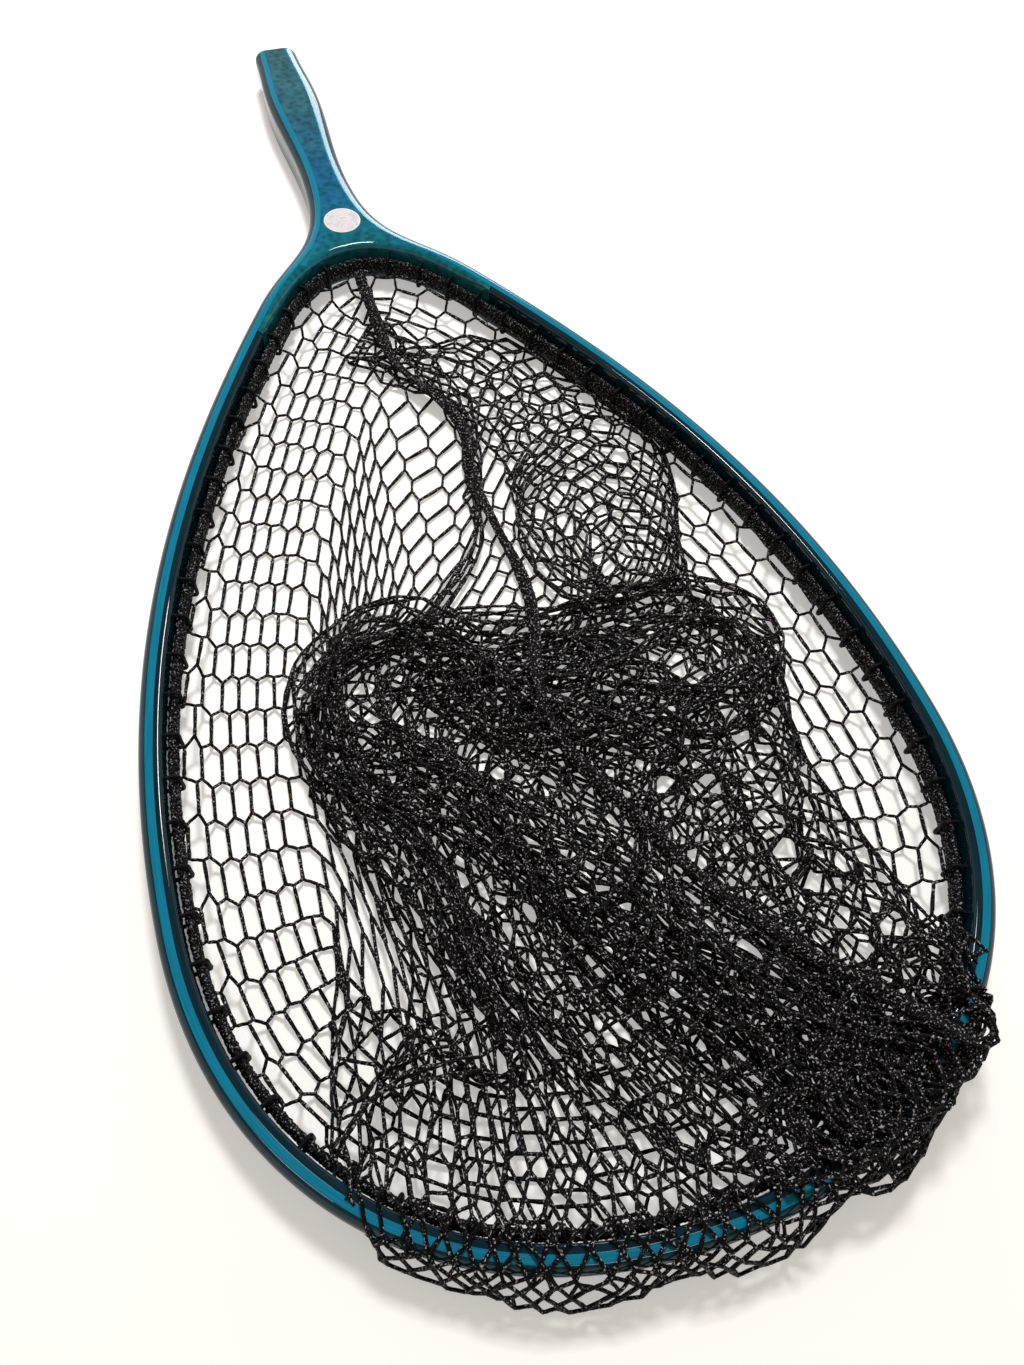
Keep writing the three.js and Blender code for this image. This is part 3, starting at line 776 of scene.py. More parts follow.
for way_round in (1.0, -1.0):
    wide, deep = [
        add(tree, MATH, {0: ripple, 1: way_round, 2: given[size]}, operation="MULTIPLY_ADD")
        for size in ("Half width", "Half depth")]
    for strand in range(STRANDS):
        start = 2 * math.pi * strand / STRANDS
        angle = add(tree, MATH, {0: turned_by, 1: way_round, 2: start}, operation="MULTIPLY_ADD")
        swings = []
        for wave, reach, way in (("COSINE", wide, side_way), ("SINE", deep, out_way)):
            swing = add(tree, MATH, {0: angle}, operation=wave)
            amount = add(tree, MATH, {0: swing, 1: reach}, operation="MULTIPLY")
            swings.append(add(tree, VECTOR_MATH, {0: way, "Scale": amount}, operation="SCALE"))
        offset = add(tree, VECTOR_MATH, dict(enumerate(swings)), operation="ADD")
        moved = add(tree, "GeometryNodeSetPosition", {"Geometry": line, "Offset": offset})
        tube = add(tree, "GeometryNodeCurveToMesh", {
            "Curve": moved, "Profile Curve": section, "Fill Caps": True})
        feed(woven, {0: tube})
close_tree(tree, woven, given["Material"])

# %% [markdown]
# The head band is such a braid laid against the inside wall at half its height. A whole number of
# turns makes its ends meet at the throat, as the sewn ends of the real band do. A soft braid swells
# a little past its measured size, so that the ties press into it.

# %% Head band
FIT_GAP = 0.3
BAND_THICKNESS = 3.4
BAND_HEIGHT = 8.5
BAND_SWELL = 0.35
BAND_STRAND = 0.75
BAND_LIFT = 0.3
BAND_LIFT_SUNK = 0.15
BAND_WAVE = 14.0
BAND_SPACING = 1.3
STRAND_SIDES = 5
upward = np.array((0.0, 0.0, 1.0))

band_depth = FIT_GAP + BAND_THICKNESS / 2 + BAND_SWELL
band_line = np.column_stack([wall + band_depth * wall_inward, np.full(WALL_POINTS, MID_HEIGHT)])
band_guide = guide("band_line", band_line, in_line(WALL_POINTS, closed=True),
                   side=np.tile(upward, (WALL_POINTS, 1)),
                   out=np.column_stack([wall_inward, np.zeros(WALL_POINTS)]))
thickness_left = BAND_THICKNESS / 2 + BAND_SWELL - BAND_STRAND - BAND_LIFT + BAND_LIFT_SUNK
band = from_tree("head_braid", band_guide, braid_tree, {
    "Turns": float(round(wall_length / BAND_WAVE)),
    "Half width": (BAND_HEIGHT / 2 + BAND_SWELL - BAND_STRAND) * MM,
    "Half depth": thickness_left * MM, "Lift": BAND_LIFT * MM,
    "Strand radius": BAND_STRAND * MM, "Strand sides": STRAND_SIDES,
    "Point spacing": BAND_SPACING * MM, "Material": braid_yarn})
as_piece(band, "braid", "head_band")

# %% [markdown]
# Short cords tie the band to the wood. Each comes out of a hole in the wall, goes over the band
# and back in under it. One tie is drawn as a path, and a tree sets it at every place along the
# wall, turned to face into the mouth.

# %% Ties
TIE_COUNT = 65
TIE_RADIUS = 0.8
TIE_SIDES = 8
TIE_DEPTH = 2.1
TIE_STRAIGHT = 0.5
TIE_BEND_BACK = 1.2
TIE_BEND_DOWN = 1.4

tree, given = new_tree("ties along a wall", {
    "One tie": "Object", "Tie radius": "Float", "Tie sides": "Int", "Material": "Material"})
path = add(tree, "GeometryNodeObjectInfo", {"Object": given["One tie"]}).outputs["Geometry"]
path = add(tree, "GeometryNodeMeshToCurve", {"Mesh": path})
path = add(tree, "GeometryNodeCurveSplineType", {"Curve": path}, spline_type="CATMULL_ROM")
section = add(tree, "GeometryNodeCurvePrimitiveCircle", {
    "Resolution": given["Tie sides"], "Radius": given["Tie radius"]})
one = add(tree, "GeometryNodeCurveToMesh", {
    "Curve": path, "Profile Curve": section, "Fill Caps": True})
out_way = add(tree, "GeometryNodeInputNamedAttribute", {"Name": "out"}, data_type="FLOAT_VECTOR")
facing = add(tree, "FunctionNodeAxesToRotation", {
    "Primary Axis": (0, 0, 1), "Secondary Axis": out_way}, primary_axis="Z", secondary_axis="X")
places = add(tree, "GeometryNodeMeshToPoints", {"Mesh": given["Geometry"]})
set_out = add(tree, "GeometryNodeInstanceOnPoints", {
    "Points": places, "Instance": one, "Rotation": facing})
close_tree(tree, set_out, given["Material"])

tie_face = FIT_GAP + BAND_THICKNESS + FIT_GAP + TIE_RADIUS
tie_rise = BAND_HEIGHT / 2 + FIT_GAP + TIE_RADIUS
upper_half = [(-TIE_DEPTH, tie_rise), (TIE_STRAIGHT, tie_rise),
              (tie_face - TIE_BEND_BACK, tie_rise), (tie_face, tie_rise - TIE_BEND_DOWN)]
tie_path = upper_half + [(tie_face, 0)] + [(depth, -rise) for depth, rise in upper_half[::-1]]
one_tie = mesh_object("one_tie", [(depth * MM, 0, rise * MM) for depth, rise in tie_path], [],
                      edges=in_line(len(tie_path)))
tie_shares = np.arange(1, TIE_COUNT + 1) / (TIE_COUNT + 1)
tie_places = np.column_stack([along_wall(tie_shares, 0), np.full(TIE_COUNT, MID_HEIGHT)])
tie_inward = along_wall(tie_shares, 1) - along_wall(tie_shares, 0)
tie_guide = guide("tie_places", tie_places, in_line(TIE_COUNT),
                  out=np.column_stack([tie_inward, np.zeros(TIE_COUNT)]))
ties = from_tree("ties", tie_guide, tree, {
    "One tie": one_tie, "Tie radius": TIE_RADIUS * MM, "Tie sides": TIE_SIDES, "Material": tie_yarn})
bpy.data.objects.remove(one_tie)
as_piece(ties, "tie_cord", *[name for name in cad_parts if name.startswith("lacing_tie")])

# %% [markdown]
# The netting is knotless: two twines run side by side along each bar, then part and cross to the
# neighbouring bars as legs, which leaves long six-sided cells. The bag is a tube of such cells,
# 72 bars round and 52 deep, hung from the band with its bars along the rim.
# Here it is only a list of bar ends, [side, column, row], and of the pairs that twine joins.

# %% Cells of the bag
BAR = 13.5
LEG = 4.8
LEG_ALONG = 0.4
CELL = 8.8
COLUMNS = 72
ROWS = 52
PITCH = BAR + LEG_ALONG * LEG

column = np.arange(COLUMNS)
rows = np.arange(ROWS)
odd = column % 2
ends = np.arange(2 * COLUMNS * ROWS).reshape(2, COLUMNS, ROWS)
row_place = rows[None] + 0.5 * odd[:, None]


def leg_pairs(upward_leg):
    """The legs between each column and the next one, the upper or the lower of each pair."""
    pairs = []
    for i in column:
        shift = odd[i] - upward_leg
        j = rows[(rows + shift >= 0) & (rows + shift < ROWS)]
        pairs.append(np.stack([ends[1, i, j], ends[0, (i + 1) % COLUMNS, j + shift]], 1))
    return np.concatenate(pairs)


def apart(stride, axis):
    """Ends that lie some rows or columns apart, in two sets that share no end."""
    count = ends.shape[axis]
    sets = []
    for start in (0, stride):
        k = np.arange(count)
        k = k[(k % (2 * stride) >= start) & (k % (2 * stride) < start + stride)]
        if axis == 2:
            k = k[k + stride < count]
            first, second = ends[:, :, k], ends[:, :, k + stride]
        else:
            first, second = ends[:, k], ends[:, (k + stride) % count]
        sets.append(np.stack([first.ravel(), second.ravel()], 1))
    return sets


bars = np.stack([ends[0].ravel(), ends[1].ravel()], 1)
legs = [leg_pairs(0), leg_pairs(1)]
springs = [(pairs, stride * size) for stride in (2, 4) for axis, size in ((2, CELL), (1, PITCH))
           for pairs in apart(stride, axis)]
print(len(bars), "bars and", sum(map(len, legs)), "legs")

# %% [markdown]
# Twine can't stretch, but it bends freely, and a pile of netting keeps some bulk. So each step of
# the drape below sets every bar and leg back to its length, and pushes ends apart that have come
# closer than the rows or columns between them would lie, but only weakly. Netting then folds in
# large soft turns instead of crumpling.

# %% One correction of lengths
ROUNDS = 6
BULK = 0.012
BAR_PUSH = 0.5
LEG_PUSH = 0.3
NO_LENGTH = 1e-9
free = np.ones(ends.size)
free[ends[:, :, 0].ravel()] = 0


def set_apart(x, pairs, rest, pull, push):
    """Moves the two ends of each pair towards their rest distance; pull and push are 0 to 1."""
    a, b = pairs[:, 0], pairs[:, 1]
    gap = x[b] - x[a]
    length = np.sqrt((gap * gap).sum(1)) + NO_LENGTH
    error = length - rest
    weight = free[a] + free[b]
    eager = np.where(error > 0, pull, push)
    share = np.where(weight > 0, eager * error / (length * np.maximum(weight, NO_LENGTH)), 0)
    gap *= share[:, None]
    x[a] += gap * free[a][:, None]
    x[b] -= gap * free[b][:, None]


def correct_lengths(x, turn):
    """Keeps some bulk between rows and columns, and sets bars and legs back to their lengths."""
    for pairs, rest in springs:
        set_apart(x, pairs, rest, 0.0, BULK)
    set_apart(x, bars, BAR, 1.0, BAR_PUSH)
    for leg in legs if turn % 2 else legs[::-1]:
        set_apart(x, leg, LEG, 1.0, LEG_PUSH)


print(int(free.sum()), "ends move, and the", int((free == 0).sum()), "of the first row are held")

# %% [markdown]
# The bag lies on the table inside the hoop, and its end goes over the hoop's tip, so the drape
# has to know how deep inside the outline any point is. That distance is worked out once on a
# grid. The hoop and the band are then two rounded boxes in the section across the rim. The box of
# the hoop goes on below the table, so that nothing slips under it.

# %% Distance from the outline
GRID_STEP = 2.0
GRID_LOW = np.array((-190.0, -70.0))
GRID_HIGH = np.array((190.0, 470.0))
BATCH = 100
LAST_SQUARE = 1.001
TWINE = 1.25
TINY = 1e-6
BELOW_TABLE = 3
BAND_GROWTH = 1.3
HOOP_CORNER = 2.0
BAND_CORNER = 1.2
HOOP_NEAR = (-6, WALL_DEPTH + 12)
HOOP_NEAR_TOP = FRAME_HEIGHT + 4

grid_x, grid_y = (np.arange(low, high + GRID_STEP, GRID_STEP) for low, high in zip(GRID_LOW, GRID_HIGH))
grid = np.stack(np.meshgrid(grid_x, grid_y, indexing="ij"), -1).reshape(-1, 2)
edge_points = np.concatenate([half_outline[:0:-1] * (-1, 1), half_outline])
nearest = np.full(len(grid), np.inf)
for k in range(0, len(edge_points), BATCH):
    gaps = np.linalg.norm(grid[:, None] - edge_points[None, k:k + BATCH], axis=2)
    nearest = np.minimum(nearest, gaps.min(1))
half_width = np.interp(grid[:, 1], half_outline[:, 1], half_outline[:, 0], left=-1, right=-1)
depth_grid = np.where(np.abs(grid[:, 0]) < half_width, nearest, -nearest)
depth_grid = depth_grid.reshape(len(grid_x), len(grid_y))
slope_x, slope_y = np.gradient(depth_grid, GRID_STEP)


def depth_at(p):
    """Depth inside the outline, and the direction in which it grows."""
    at = np.clip((p[:, :2] - GRID_LOW) / GRID_STEP, 0, np.array(depth_grid.shape) - LAST_SQUARE)
    i, j = at.astype(int).T
    u, v = (at - np.floor(at)).T

    def mix(values):
        return ((values[i, j] * (1 - u) + values[i + 1, j] * u) * (1 - v)
                + (values[i, j + 1] * (1 - u) + values[i + 1, j + 1] * u) * v)

    deeper = np.stack([mix(slope_x), mix(slope_y)], 1)
    return mix(depth_grid), deeper / np.maximum(np.linalg.norm(deeper, axis=1), TINY)[:, None]


band_reach = FIT_GAP + BAND_THICKNESS + TIE_RADIUS
HOOP_BOX = ((WALL_DEPTH / 2, MID_HEIGHT - BELOW_TABLE),
            (WALL_DEPTH / 2, MID_HEIGHT + BELOW_TABLE), HOOP_CORNER)
BAND_BOX = ((WALL_DEPTH + band_reach / 2, MID_HEIGHT),
            (band_reach / 2 + BAND_GROWTH, BAND_HEIGHT / 2), BAND_CORNER)


def out_of_hoop(p, gap):
    """How far each point has to move to leave the hoop and the band by a gap."""
    move = np.zeros_like(p)
    near = np.where(p[:, 2] < HOOP_NEAR_TOP)[0]
    depth, deeper = depth_at(p[near])
    hit = (depth > HOOP_NEAR[0]) & (depth < HOOP_NEAR[1])
    near, depth, deeper = near[hit], depth[hit], deeper[hit]
    for (centre_d, centre_z), (half_d, half_z), corner in (HOOP_BOX, BAND_BOX):
        off_d, off_z = depth - centre_d, p[near, 2] + move[near, 2] - centre_z
        over_d, over_z = np.abs(off_d) - (half_d - corner), np.abs(off_z) - (half_z - corner)
        out_d, out_z = np.maximum(over_d, 0), np.maximum(over_z, 0)
        outside = np.hypot(out_d, out_z)
        inside = np.minimum(np.maximum(over_d, over_z), 0)
        amount = np.maximum(gap - (outside + inside - corner), 0)
        clear = outside > TINY
        reach = np.maximum(outside, TINY)
        way_d = np.where(clear, out_d / reach, over_d > over_z) * np.sign(off_d)
        way_z = np.where(clear, out_z / reach, over_d <= over_z) * np.where(off_z < 0, -1, 1)
        move[near, :2] += (amount * way_d)[:, None] * deeper
        move[near, 2] += amount * way_z
    return move


print("deepest point inside the hoop:", round(float(depth_grid.max()), 1), "mm")

# %% [markdown]
# The first rows hang from the band and lie flat along the rim, closer together on the left side,
# where the bag is drawn in. Each bar of them has a place of its own.

# %% Rows along the rim
RIM_ROWS = 8
RIM_GAP = 5.5
RIM_CELL = (7.6, 6.3)
LEFT_START = 0.35
LEFT_RISE = 0.3
LEFT_FALL = 0.08

bar_shares = np.stack([column / COLUMNS + sign * 0.5 * BAR / PITCH / COLUMNS for sign in (-1, 1)])
rim_places = np.zeros((2, COLUMNS, RIM_ROWS, 2))
for i in column:
    way_round = i / COLUMNS
    to_left = ease((way_round - LEFT_START) / LEFT_RISE) * ease((1.0 - way_round) / LEFT_FALL)
    spacing = RIM_CELL[0] + (RIM_CELL[1] - RIM_CELL[0]) * to_left
    for r in range(RIM_ROWS):
        rim_places[:, i, r] = along_wall(bar_shares[:, i], RIM_GAP + row_place[i, r] * spacing)
print("the first", RIM_ROWS, "rows lie flat along the rim")

# %% [markdown]
# A bag laid down by hand isn't left to chance: its seam wanders from the throat to the right end
# of the tip, a fold of it is pulled over the tip, and the rest is pushed together in the middle.
# These are the places, in millimetres from the tip, that the drape leads the netting to. The pile
# is a few ellipses (centre, half sizes, layers), each with the layers of netting that lie there on
# top of one another: how thick the black looks is what the eye takes for the shape of the heap.
# The last three are light gaps. A gather (columns, rows, centre, radius, pull) draws a part of the
# bag together.

# %% Where the bag is put
SEAM = np.array([(-8.6, 436), (-4, 430), (6, 402), (-5, 392), (2, 367), (24, 340), (8, 299),
                 (22, 265), (17, 213), (2, 168), (23, 128), (60, 78), (83, 41), (92, 25)], float)
FOLD_COLUMN = 48.5
FOLD_ROWS = (11, 41)
FOLD_ARC = (-117, 100)
FOLD_PATH = np.array([(0, -7, 3), (8, -6, 11), (16, -2, 19.5), (22, 3, 22.6), (30, 11, 22.8),
                      (38, 18, 19), (50, 28, 12), (62, 38, 7)], float)
END_ARC = (104, 28)
PILE = [((-42, 200), (54, 58), 17.0), ((60, 190), (55, 55), 8.0), ((55, 300), (48, 80), 1.6),
        ((-15, 105), (60, 45), 4.5), ((75, 34), (44, 26), 6.0), ((-30, 40), (75, 28), 1.2),
        ((10, 50), (28, 16), -4.0), ((-30, 36), (44, 12), -2.5), ((116, 115), (30, 75), -1.5)]
GATHERS = [((52, 71), (9, 41), (-42, 198), 44, 0.2), ((3, 16), (8, 22), (50, 320), 55, 0.06),
           ((3, 16), (22, 42), (60, 200), 55, 0.1), ((16, 30), (9, 35), (58, 200), 50, 0.08),
           ((30, 44), (12, 37), (-35, 180), 60, 0.1), ((45, 56), (5, 14), (-70, 55), 10, 0.15),
           ((14, 44), (38, 49), (70, 56), 28, 0.12), ((54, 66), (38, 49), (70, 56), 28, 0.12)]


def along_tip(arc, depth):
    """Points at distances along the outline from the tip, left ones negative, at a depth."""
    p, inward = on_outline(np.abs(arc))
    p = p + np.asarray(depth)[:, None] * inward
    p[:, 0] *= np.where(np.asarray(arc) < 0, -1, 1)
    return p


print(len(PILE), "ellipses for the pile and", len(GATHERS), "gathers")

# %% [markdown]
# Netting that lies on netting is lifted by a layer for each end that lies lower in the same small
# square of the table. Where more layers lie than the pile should have, ends slide towards squares
# with too few, as a hand would spread them.

# %% Layers of the pile
RANK_SQUARE = 8.0
KEY_SHIFT = 200
KEY_ROWS = 4096
SPREAD_CELL = 12.0
SPREAD_X = (-168, 168)
SPREAD_Y = (-36, 468)
SPREAD_RATE = 60.0
SPREAD_STEP = 0.8
PILE_EDGE = 1.25
PILE_SOFT = 0.5
LEAST_LAYERS = 0.5
LAYER_FLOOR = 0.3
FULLNESS = 1.25
MOST_PRESSURE = 1.2
ENDS_PER_LAYER = SPREAD_CELL ** 2 * 2 / (PITCH * CELL)


def layer_ranks(x):
    """How many ends lie lower in the same small square of the table."""
    square = np.floor(x[:, :2] / RANK_SQUARE).astype(int) + KEY_SHIFT
    key = square[:, 0] * KEY_ROWS + square[:, 1]
    order = np.lexsort((x[:, 2], key))
    new = np.concatenate([[True], np.diff(key[order]) != 0])
    first = np.maximum.accumulate(np.where(new, np.arange(len(key)), 0))
    ranks = np.empty(len(key))
    ranks[order] = np.arange(len(key)) - first
    return ranks


def soften(values):
    """A grid blurred by its neighbours both ways."""
    v = np.pad(values, 1, mode="edge")
    v = (v[:-2] + 2 * v[1:-1] + v[2:]) / 4
    return (v[:, :-2] + 2 * v[:, 1:-1] + v[:, 2:]) / 4


edges_x, edges_y = (np.arange(low, high + 0.1, SPREAD_CELL) for low, high in (SPREAD_X, SPREAD_Y))
centre_x, centre_y = np.meshgrid((edges_x[:-1] + edges_x[1:]) / 2, (edges_y[:-1] + edges_y[1:]) / 2,
                                 indexing="ij")
wanted = np.ones(centre_x.shape)
for (px, py), (a, b), layers in PILE:
    reach = np.hypot((centre_x - px) / a, (centre_y - py) / b)
    wanted += layers * ease((PILE_EDGE - reach) / PILE_SOFT)
wanted = np.maximum(wanted, LEAST_LAYERS)


def spreading(x, who):
    """Moves of some ends from squares with too many layers towards those with too few."""
    counts = np.histogram2d(x[:, 0], x[:, 1], bins=(edges_x, edges_y))[0]
    layers = soften(soften(counts)) / ENDS_PER_LAYER
    crowding = np.log((layers + LAYER_FLOOR) / (wanted * FULLNESS))
    slopes = np.gradient(soften(np.clip(crowding, -MOST_PRESSURE, MOST_PRESSURE)), SPREAD_CELL)
    i = np.clip(((x[who, 0] - edges_x[0]) / SPREAD_CELL).astype(int), 0, wanted.shape[0] - 1)
    j = np.clip(((x[who, 1] - edges_y[0]) / SPREAD_CELL).astype(int), 0, wanted.shape[1] - 1)
    shift = -SPREAD_RATE * np.stack([slope[i, j] for slope in slopes], 1)
    size = np.linalg.norm(shift, axis=1)
    return shift * np.minimum(1, SPREAD_STEP / np.maximum(size, TINY))[:, None]


print("layers wanted: from", wanted.min(), "to", round(float(wanted.max()), 1))

# %% [markdown]
# The guides of the drape: a taut tent to start from, the places of the seam, of the last rows and
# of the fold over the tip. One seeded random source loosens them, so every run gives the same bag.

# %% Guides of the drape
SEED = 3
START_NOISE = 0.4
START_HEIGHTS = (9.0, 7.0)
TENT_TOP = 385.0
TENT_HALF = 90.0
TENT_MIDDLE = 215
TENT_BOW = 20
PATCH = 4
PATCH_LEAST = 0.15
PATCH_RANGE = 1.1
PATCH_MEAN = 0.7
SEAM_HALF = 1.5
END_ROWS = 4
END_LOOSE = 2.0
END_SHARES = (0, 0.3, 1)
END_DEPTHS = (6, 10, 18)
END_HEIGHTS = (23, 23, 22)
SHEAR = 0.5
TAIL_LOOSE = 3.0
TAIL_NOISE = 7.0
UPPER_LAYER = 1.3
FOLD_PULL = ((0, 35, 62), (0.2, 0.15, 0.02))
FOLD_SIDE = 3
RIM_PULL = (0.3, 0.06)


def patchy(rng):
    """A number for each end that varies smoothly from patch to patch of the bag."""
    coarse = rng.random((COLUMNS // PATCH + 1, ROWS // PATCH + 2))
    coarse[-1] = coarse[0]
    i, j = column / PATCH, rows / PATCH
    i0, j0 = i.astype(int), j.astype(int)
    u, v = ease(i - i0)[:, None], ease(j - j0)[None]
    values = ((coarse[i0][:, j0] * (1 - v) + coarse[i0][:, j0 + 1] * v) * (1 - u)
              + (coarse[i0 + 1][:, j0] * (1 - v) + coarse[i0 + 1][:, j0 + 1] * v) * u)
    return np.broadcast_to(PATCH_LEAST + PATCH_RANGE * values, ends.shape).ravel()


def over_the_tip(rng):
    """The ends of the fold over the tip, their places and how firmly each is led there."""
    middle = (column - FOLD_COLUMN) * PITCH
    across = np.stack([middle - BAR / 2, middle + BAR / 2])
    across = np.broadcast_to(across[:, :, None], ends.shape)
    row = np.broadcast_to(row_place[None], ends.shape)
    chosen = (np.abs(across) < FOLD_PATH[-1, 0]) & (row >= FOLD_ROWS[0]) & (row <= FOLD_ROWS[1])
    from_fold = np.abs(across[chosen])
    arc = np.interp(row[chosen], FOLD_ROWS, FOLD_ARC) + SHEAR * across[chosen]
    arc += rng.normal(0, TAIL_LOOSE, len(arc))
    wobble = (uneven.reshape(ends.shape)[chosen] - PATCH_MEAN) * TAIL_NOISE
    depth, height = (np.interp(from_fold, FOLD_PATH[:, 0], FOLD_PATH[:, k]) for k in (1, 2))
    places = np.column_stack([along_tip(arc, depth + wobble),
                              height + np.where(across[chosen] > 0, UPPER_LAYER, 0)])
    return ends[chosen], places, np.interp(from_fold, *FOLD_PULL)


rng = np.random.default_rng(SEED)
pressed = np.minimum(column, COLUMNS - column) / (COLUMNS / 2)
tent = np.stack([TENT_HALF * (1 - 2 * pressed), TENT_MIDDLE + TENT_BOW * np.cos(np.pi * pressed),
                 np.full(COLUMNS, TENT_TOP)], 1)
share = row_place / (ROWS - 0.5)
first_bag = np.zeros((2, COLUMNS, ROWS, 3))
for side in (0, 1):
    top = np.column_stack([rim_places[side, :, 0], np.array(START_HEIGHTS)[odd]])
    first_bag[side] = top[:, None] * (1 - share[..., None]) + tent[:, None] * share[..., None]
first_bag = first_bag.reshape(-1, 3)
first_bag += rng.normal(0, START_NOISE, first_bag.shape)

seam_along = lengths(SEAM) / lengths(SEAM)[-1]
seam_line = np.stack([np.interp(share[0], seam_along, SEAM[:, k]) for k in range(2)], 1)
seam_ends = np.concatenate([ends[0, 0], ends[1, 0]])
seam_places = np.concatenate([seam_line - (SEAM_HALF, 0), seam_line + (SEAM_HALF, 0)])

uneven = patchy(rng)
end_arc = END_ARC[0] + pressed * (END_ARC[1] - END_ARC[0])
end_places = np.column_stack([along_tip(end_arc, np.interp(pressed, END_SHARES, END_DEPTHS)),
                              np.interp(pressed, END_SHARES, END_HEIGHTS)])
end_places[:, :2] += rng.normal(0, END_LOOSE, (COLUMNS, 2))
last_ends = ends[:, :, -END_ROWS:].ravel()
last_column = np.broadcast_to(column[None, :, None], ends.shape)[:, :, -END_ROWS:].ravel()

fold_ends, fold_places, fold_pull = over_the_tip(rng)
by_fold = np.abs(column - FOLD_COLUMN) < FOLD_SIDE
sliding = np.concatenate([ends[:, ~by_fold, RIM_ROWS + 1:-2 * END_ROWS].ravel(),
                          ends[:, by_fold, FOLD_ROWS[1] + 2:-2 * END_ROWS].ravel()])
gathers = [(ends[:, i0:i1, j0:j1].ravel(), np.array(centre, float), radius, pull)
           for (i0, i1), (j0, j1), centre, radius, pull in GATHERS]
rim_pull = np.linspace(*RIM_PULL, RIM_ROWS)[None, None, 1:, None]
print(len(fold_ends), "ends are led over the tip, and", len(sliding), "slide in the pile")

# %% [markdown]
# The drape itself. The bag starts as a taut tent over the hoop and is let down slowly. Each step
# carries on the last movement, adds a little weight, corrects the lengths a few times, leads the
# guided parts on and lifts what would lie in the table, in the hoop or in netting below it.
# Blender's Cloth could drape such a net too, but here every part of it is led to its own place,
# and writing the steps out keeps that in plain sight.

# %% Drape of the bag
STEPS = 560
LOWERING = 300
LEAD_FROM, LEAD_OVER = 120, 180
SPREAD_FROM = 120
RIM_FROM = 60
SEAM_FROM = 200
GATHER_UNTIL = 430
CARRY = 0.95
LONGEST_MOVE = 5
WEIGHT = 0.4
GRIP_OF_TABLE = 0.7
END_LIFT = 30
END_FREE = 4
END_FREE_MORE = 8
END_PULL = 0.2
SEAM_PULL = 0.05
RIM_SINK = 0.05
HOOP_GAP = 1.2
ON_TABLE = 0.8 * TWINE
RIM_LIE = TWINE + 1
LAYER = 0.9
RANK_EVERY = 8
MOST_RANKS = 12
LAYERS_EARLY, LAYERS_OVER = 0.3, 150
LIFT = 0.5
CLEAR_EVERY = 3
RESTING_GAP = 0.3
PUSH_IN = 0.3
TIP_BOX = (-105, 106, 60)
TIP_OVERHANG = ((60, 90), (-9, -3))
LEAST_DEPTH = 12.0
RIM_DEPTH = 14
RIM_TOP = 26.0
PILE_TOP = 16.0
NO_CEILING = 500
CEILING_OVER = 120


def lead(x, step, let_down):
    """Leads the last rows, the fold over the tip, the gathers, the seam and the rim on."""
    led = ease((step - LEAD_FROM) / LEAD_OVER)
    aim = tent * (1 - let_down) + end_places * let_down
    aim[:, 2] += END_LIFT * np.sin(np.pi * let_down) * let_down
    away = x[last_ends] - aim[last_column]
    far = np.maximum(np.linalg.norm(away, axis=1), TINY)
    outside = np.maximum(1 - (END_FREE + END_FREE_MORE * let_down) / far, 0)
    x[last_ends] -= away * (outside * END_PULL)[:, None]
    x[fold_ends] += (fold_places - x[fold_ends]) * (fold_pull * led)[:, None]
    for members, centre, radius, pull in gathers if step < GATHER_UNTIL else []:
        away = x[members, :2] - centre
        far = np.linalg.norm(away, axis=1)
        amount = np.clip((far - radius * uneven[members]) * pull, 0, 1) * led
        x[members, :2] -= away * (amount / np.maximum(far, TINY))[:, None]
    if step > SEAM_FROM:
        x[seam_ends, :2] += (seam_places - x[seam_ends, :2]) * (SEAM_PULL * free[seam_ends])[:, None]
    if step > RIM_FROM:
        flat = x.reshape(2, COLUMNS, ROWS, 3)[:, :, 1:RIM_ROWS]
        flat[..., :2] += (rim_places[:, :, 1:] - flat[..., :2]) * rim_pull
        flat[..., 2] += np.minimum(0, RIM_LIE - flat[..., 2]) * RIM_SINK


def keep_clear(x, step, floor):
    """Moves ends out of the hoop, off the table and the netting below, and under the ceiling."""
    middle = out_of_hoop((x[bars[:, 0]] + x[bars[:, 1]]) / 2, HOOP_GAP)
    for end in (0, 1):
        x[bars[:, end]] += middle * free[bars[:, end]][:, None]
    x += out_of_hoop(x, HOOP_GAP) * free[:, None]
    x[:, 2] += np.maximum(floor - x[:, 2], 0) * free * LIFT
    x[:, 2] += np.maximum(ON_TABLE - x[:, 2], 0) * free
    depth, deeper = depth_at(x)
    over_tip = (x[:, 1] < TIP_BOX[2]) & (x[:, 0] > TIP_BOX[0]) & (x[:, 0] < TIP_BOX[1])
    least = np.where(over_tip, np.interp(x[:, 0], *TIP_OVERHANG), LEAST_DEPTH)
    x[:, :2] += (np.maximum(least - depth, 0) * PUSH_IN * free)[:, None] * deeper
    ceiling = np.where(depth < RIM_DEPTH, RIM_TOP, PILE_TOP)
    ceiling = NO_CEILING + (ceiling - NO_CEILING) * ease((step - LOWERING) / CEILING_OVER)
    x[:, 2] += np.minimum(ceiling - x[:, 2], 0) * PUSH_IN * free


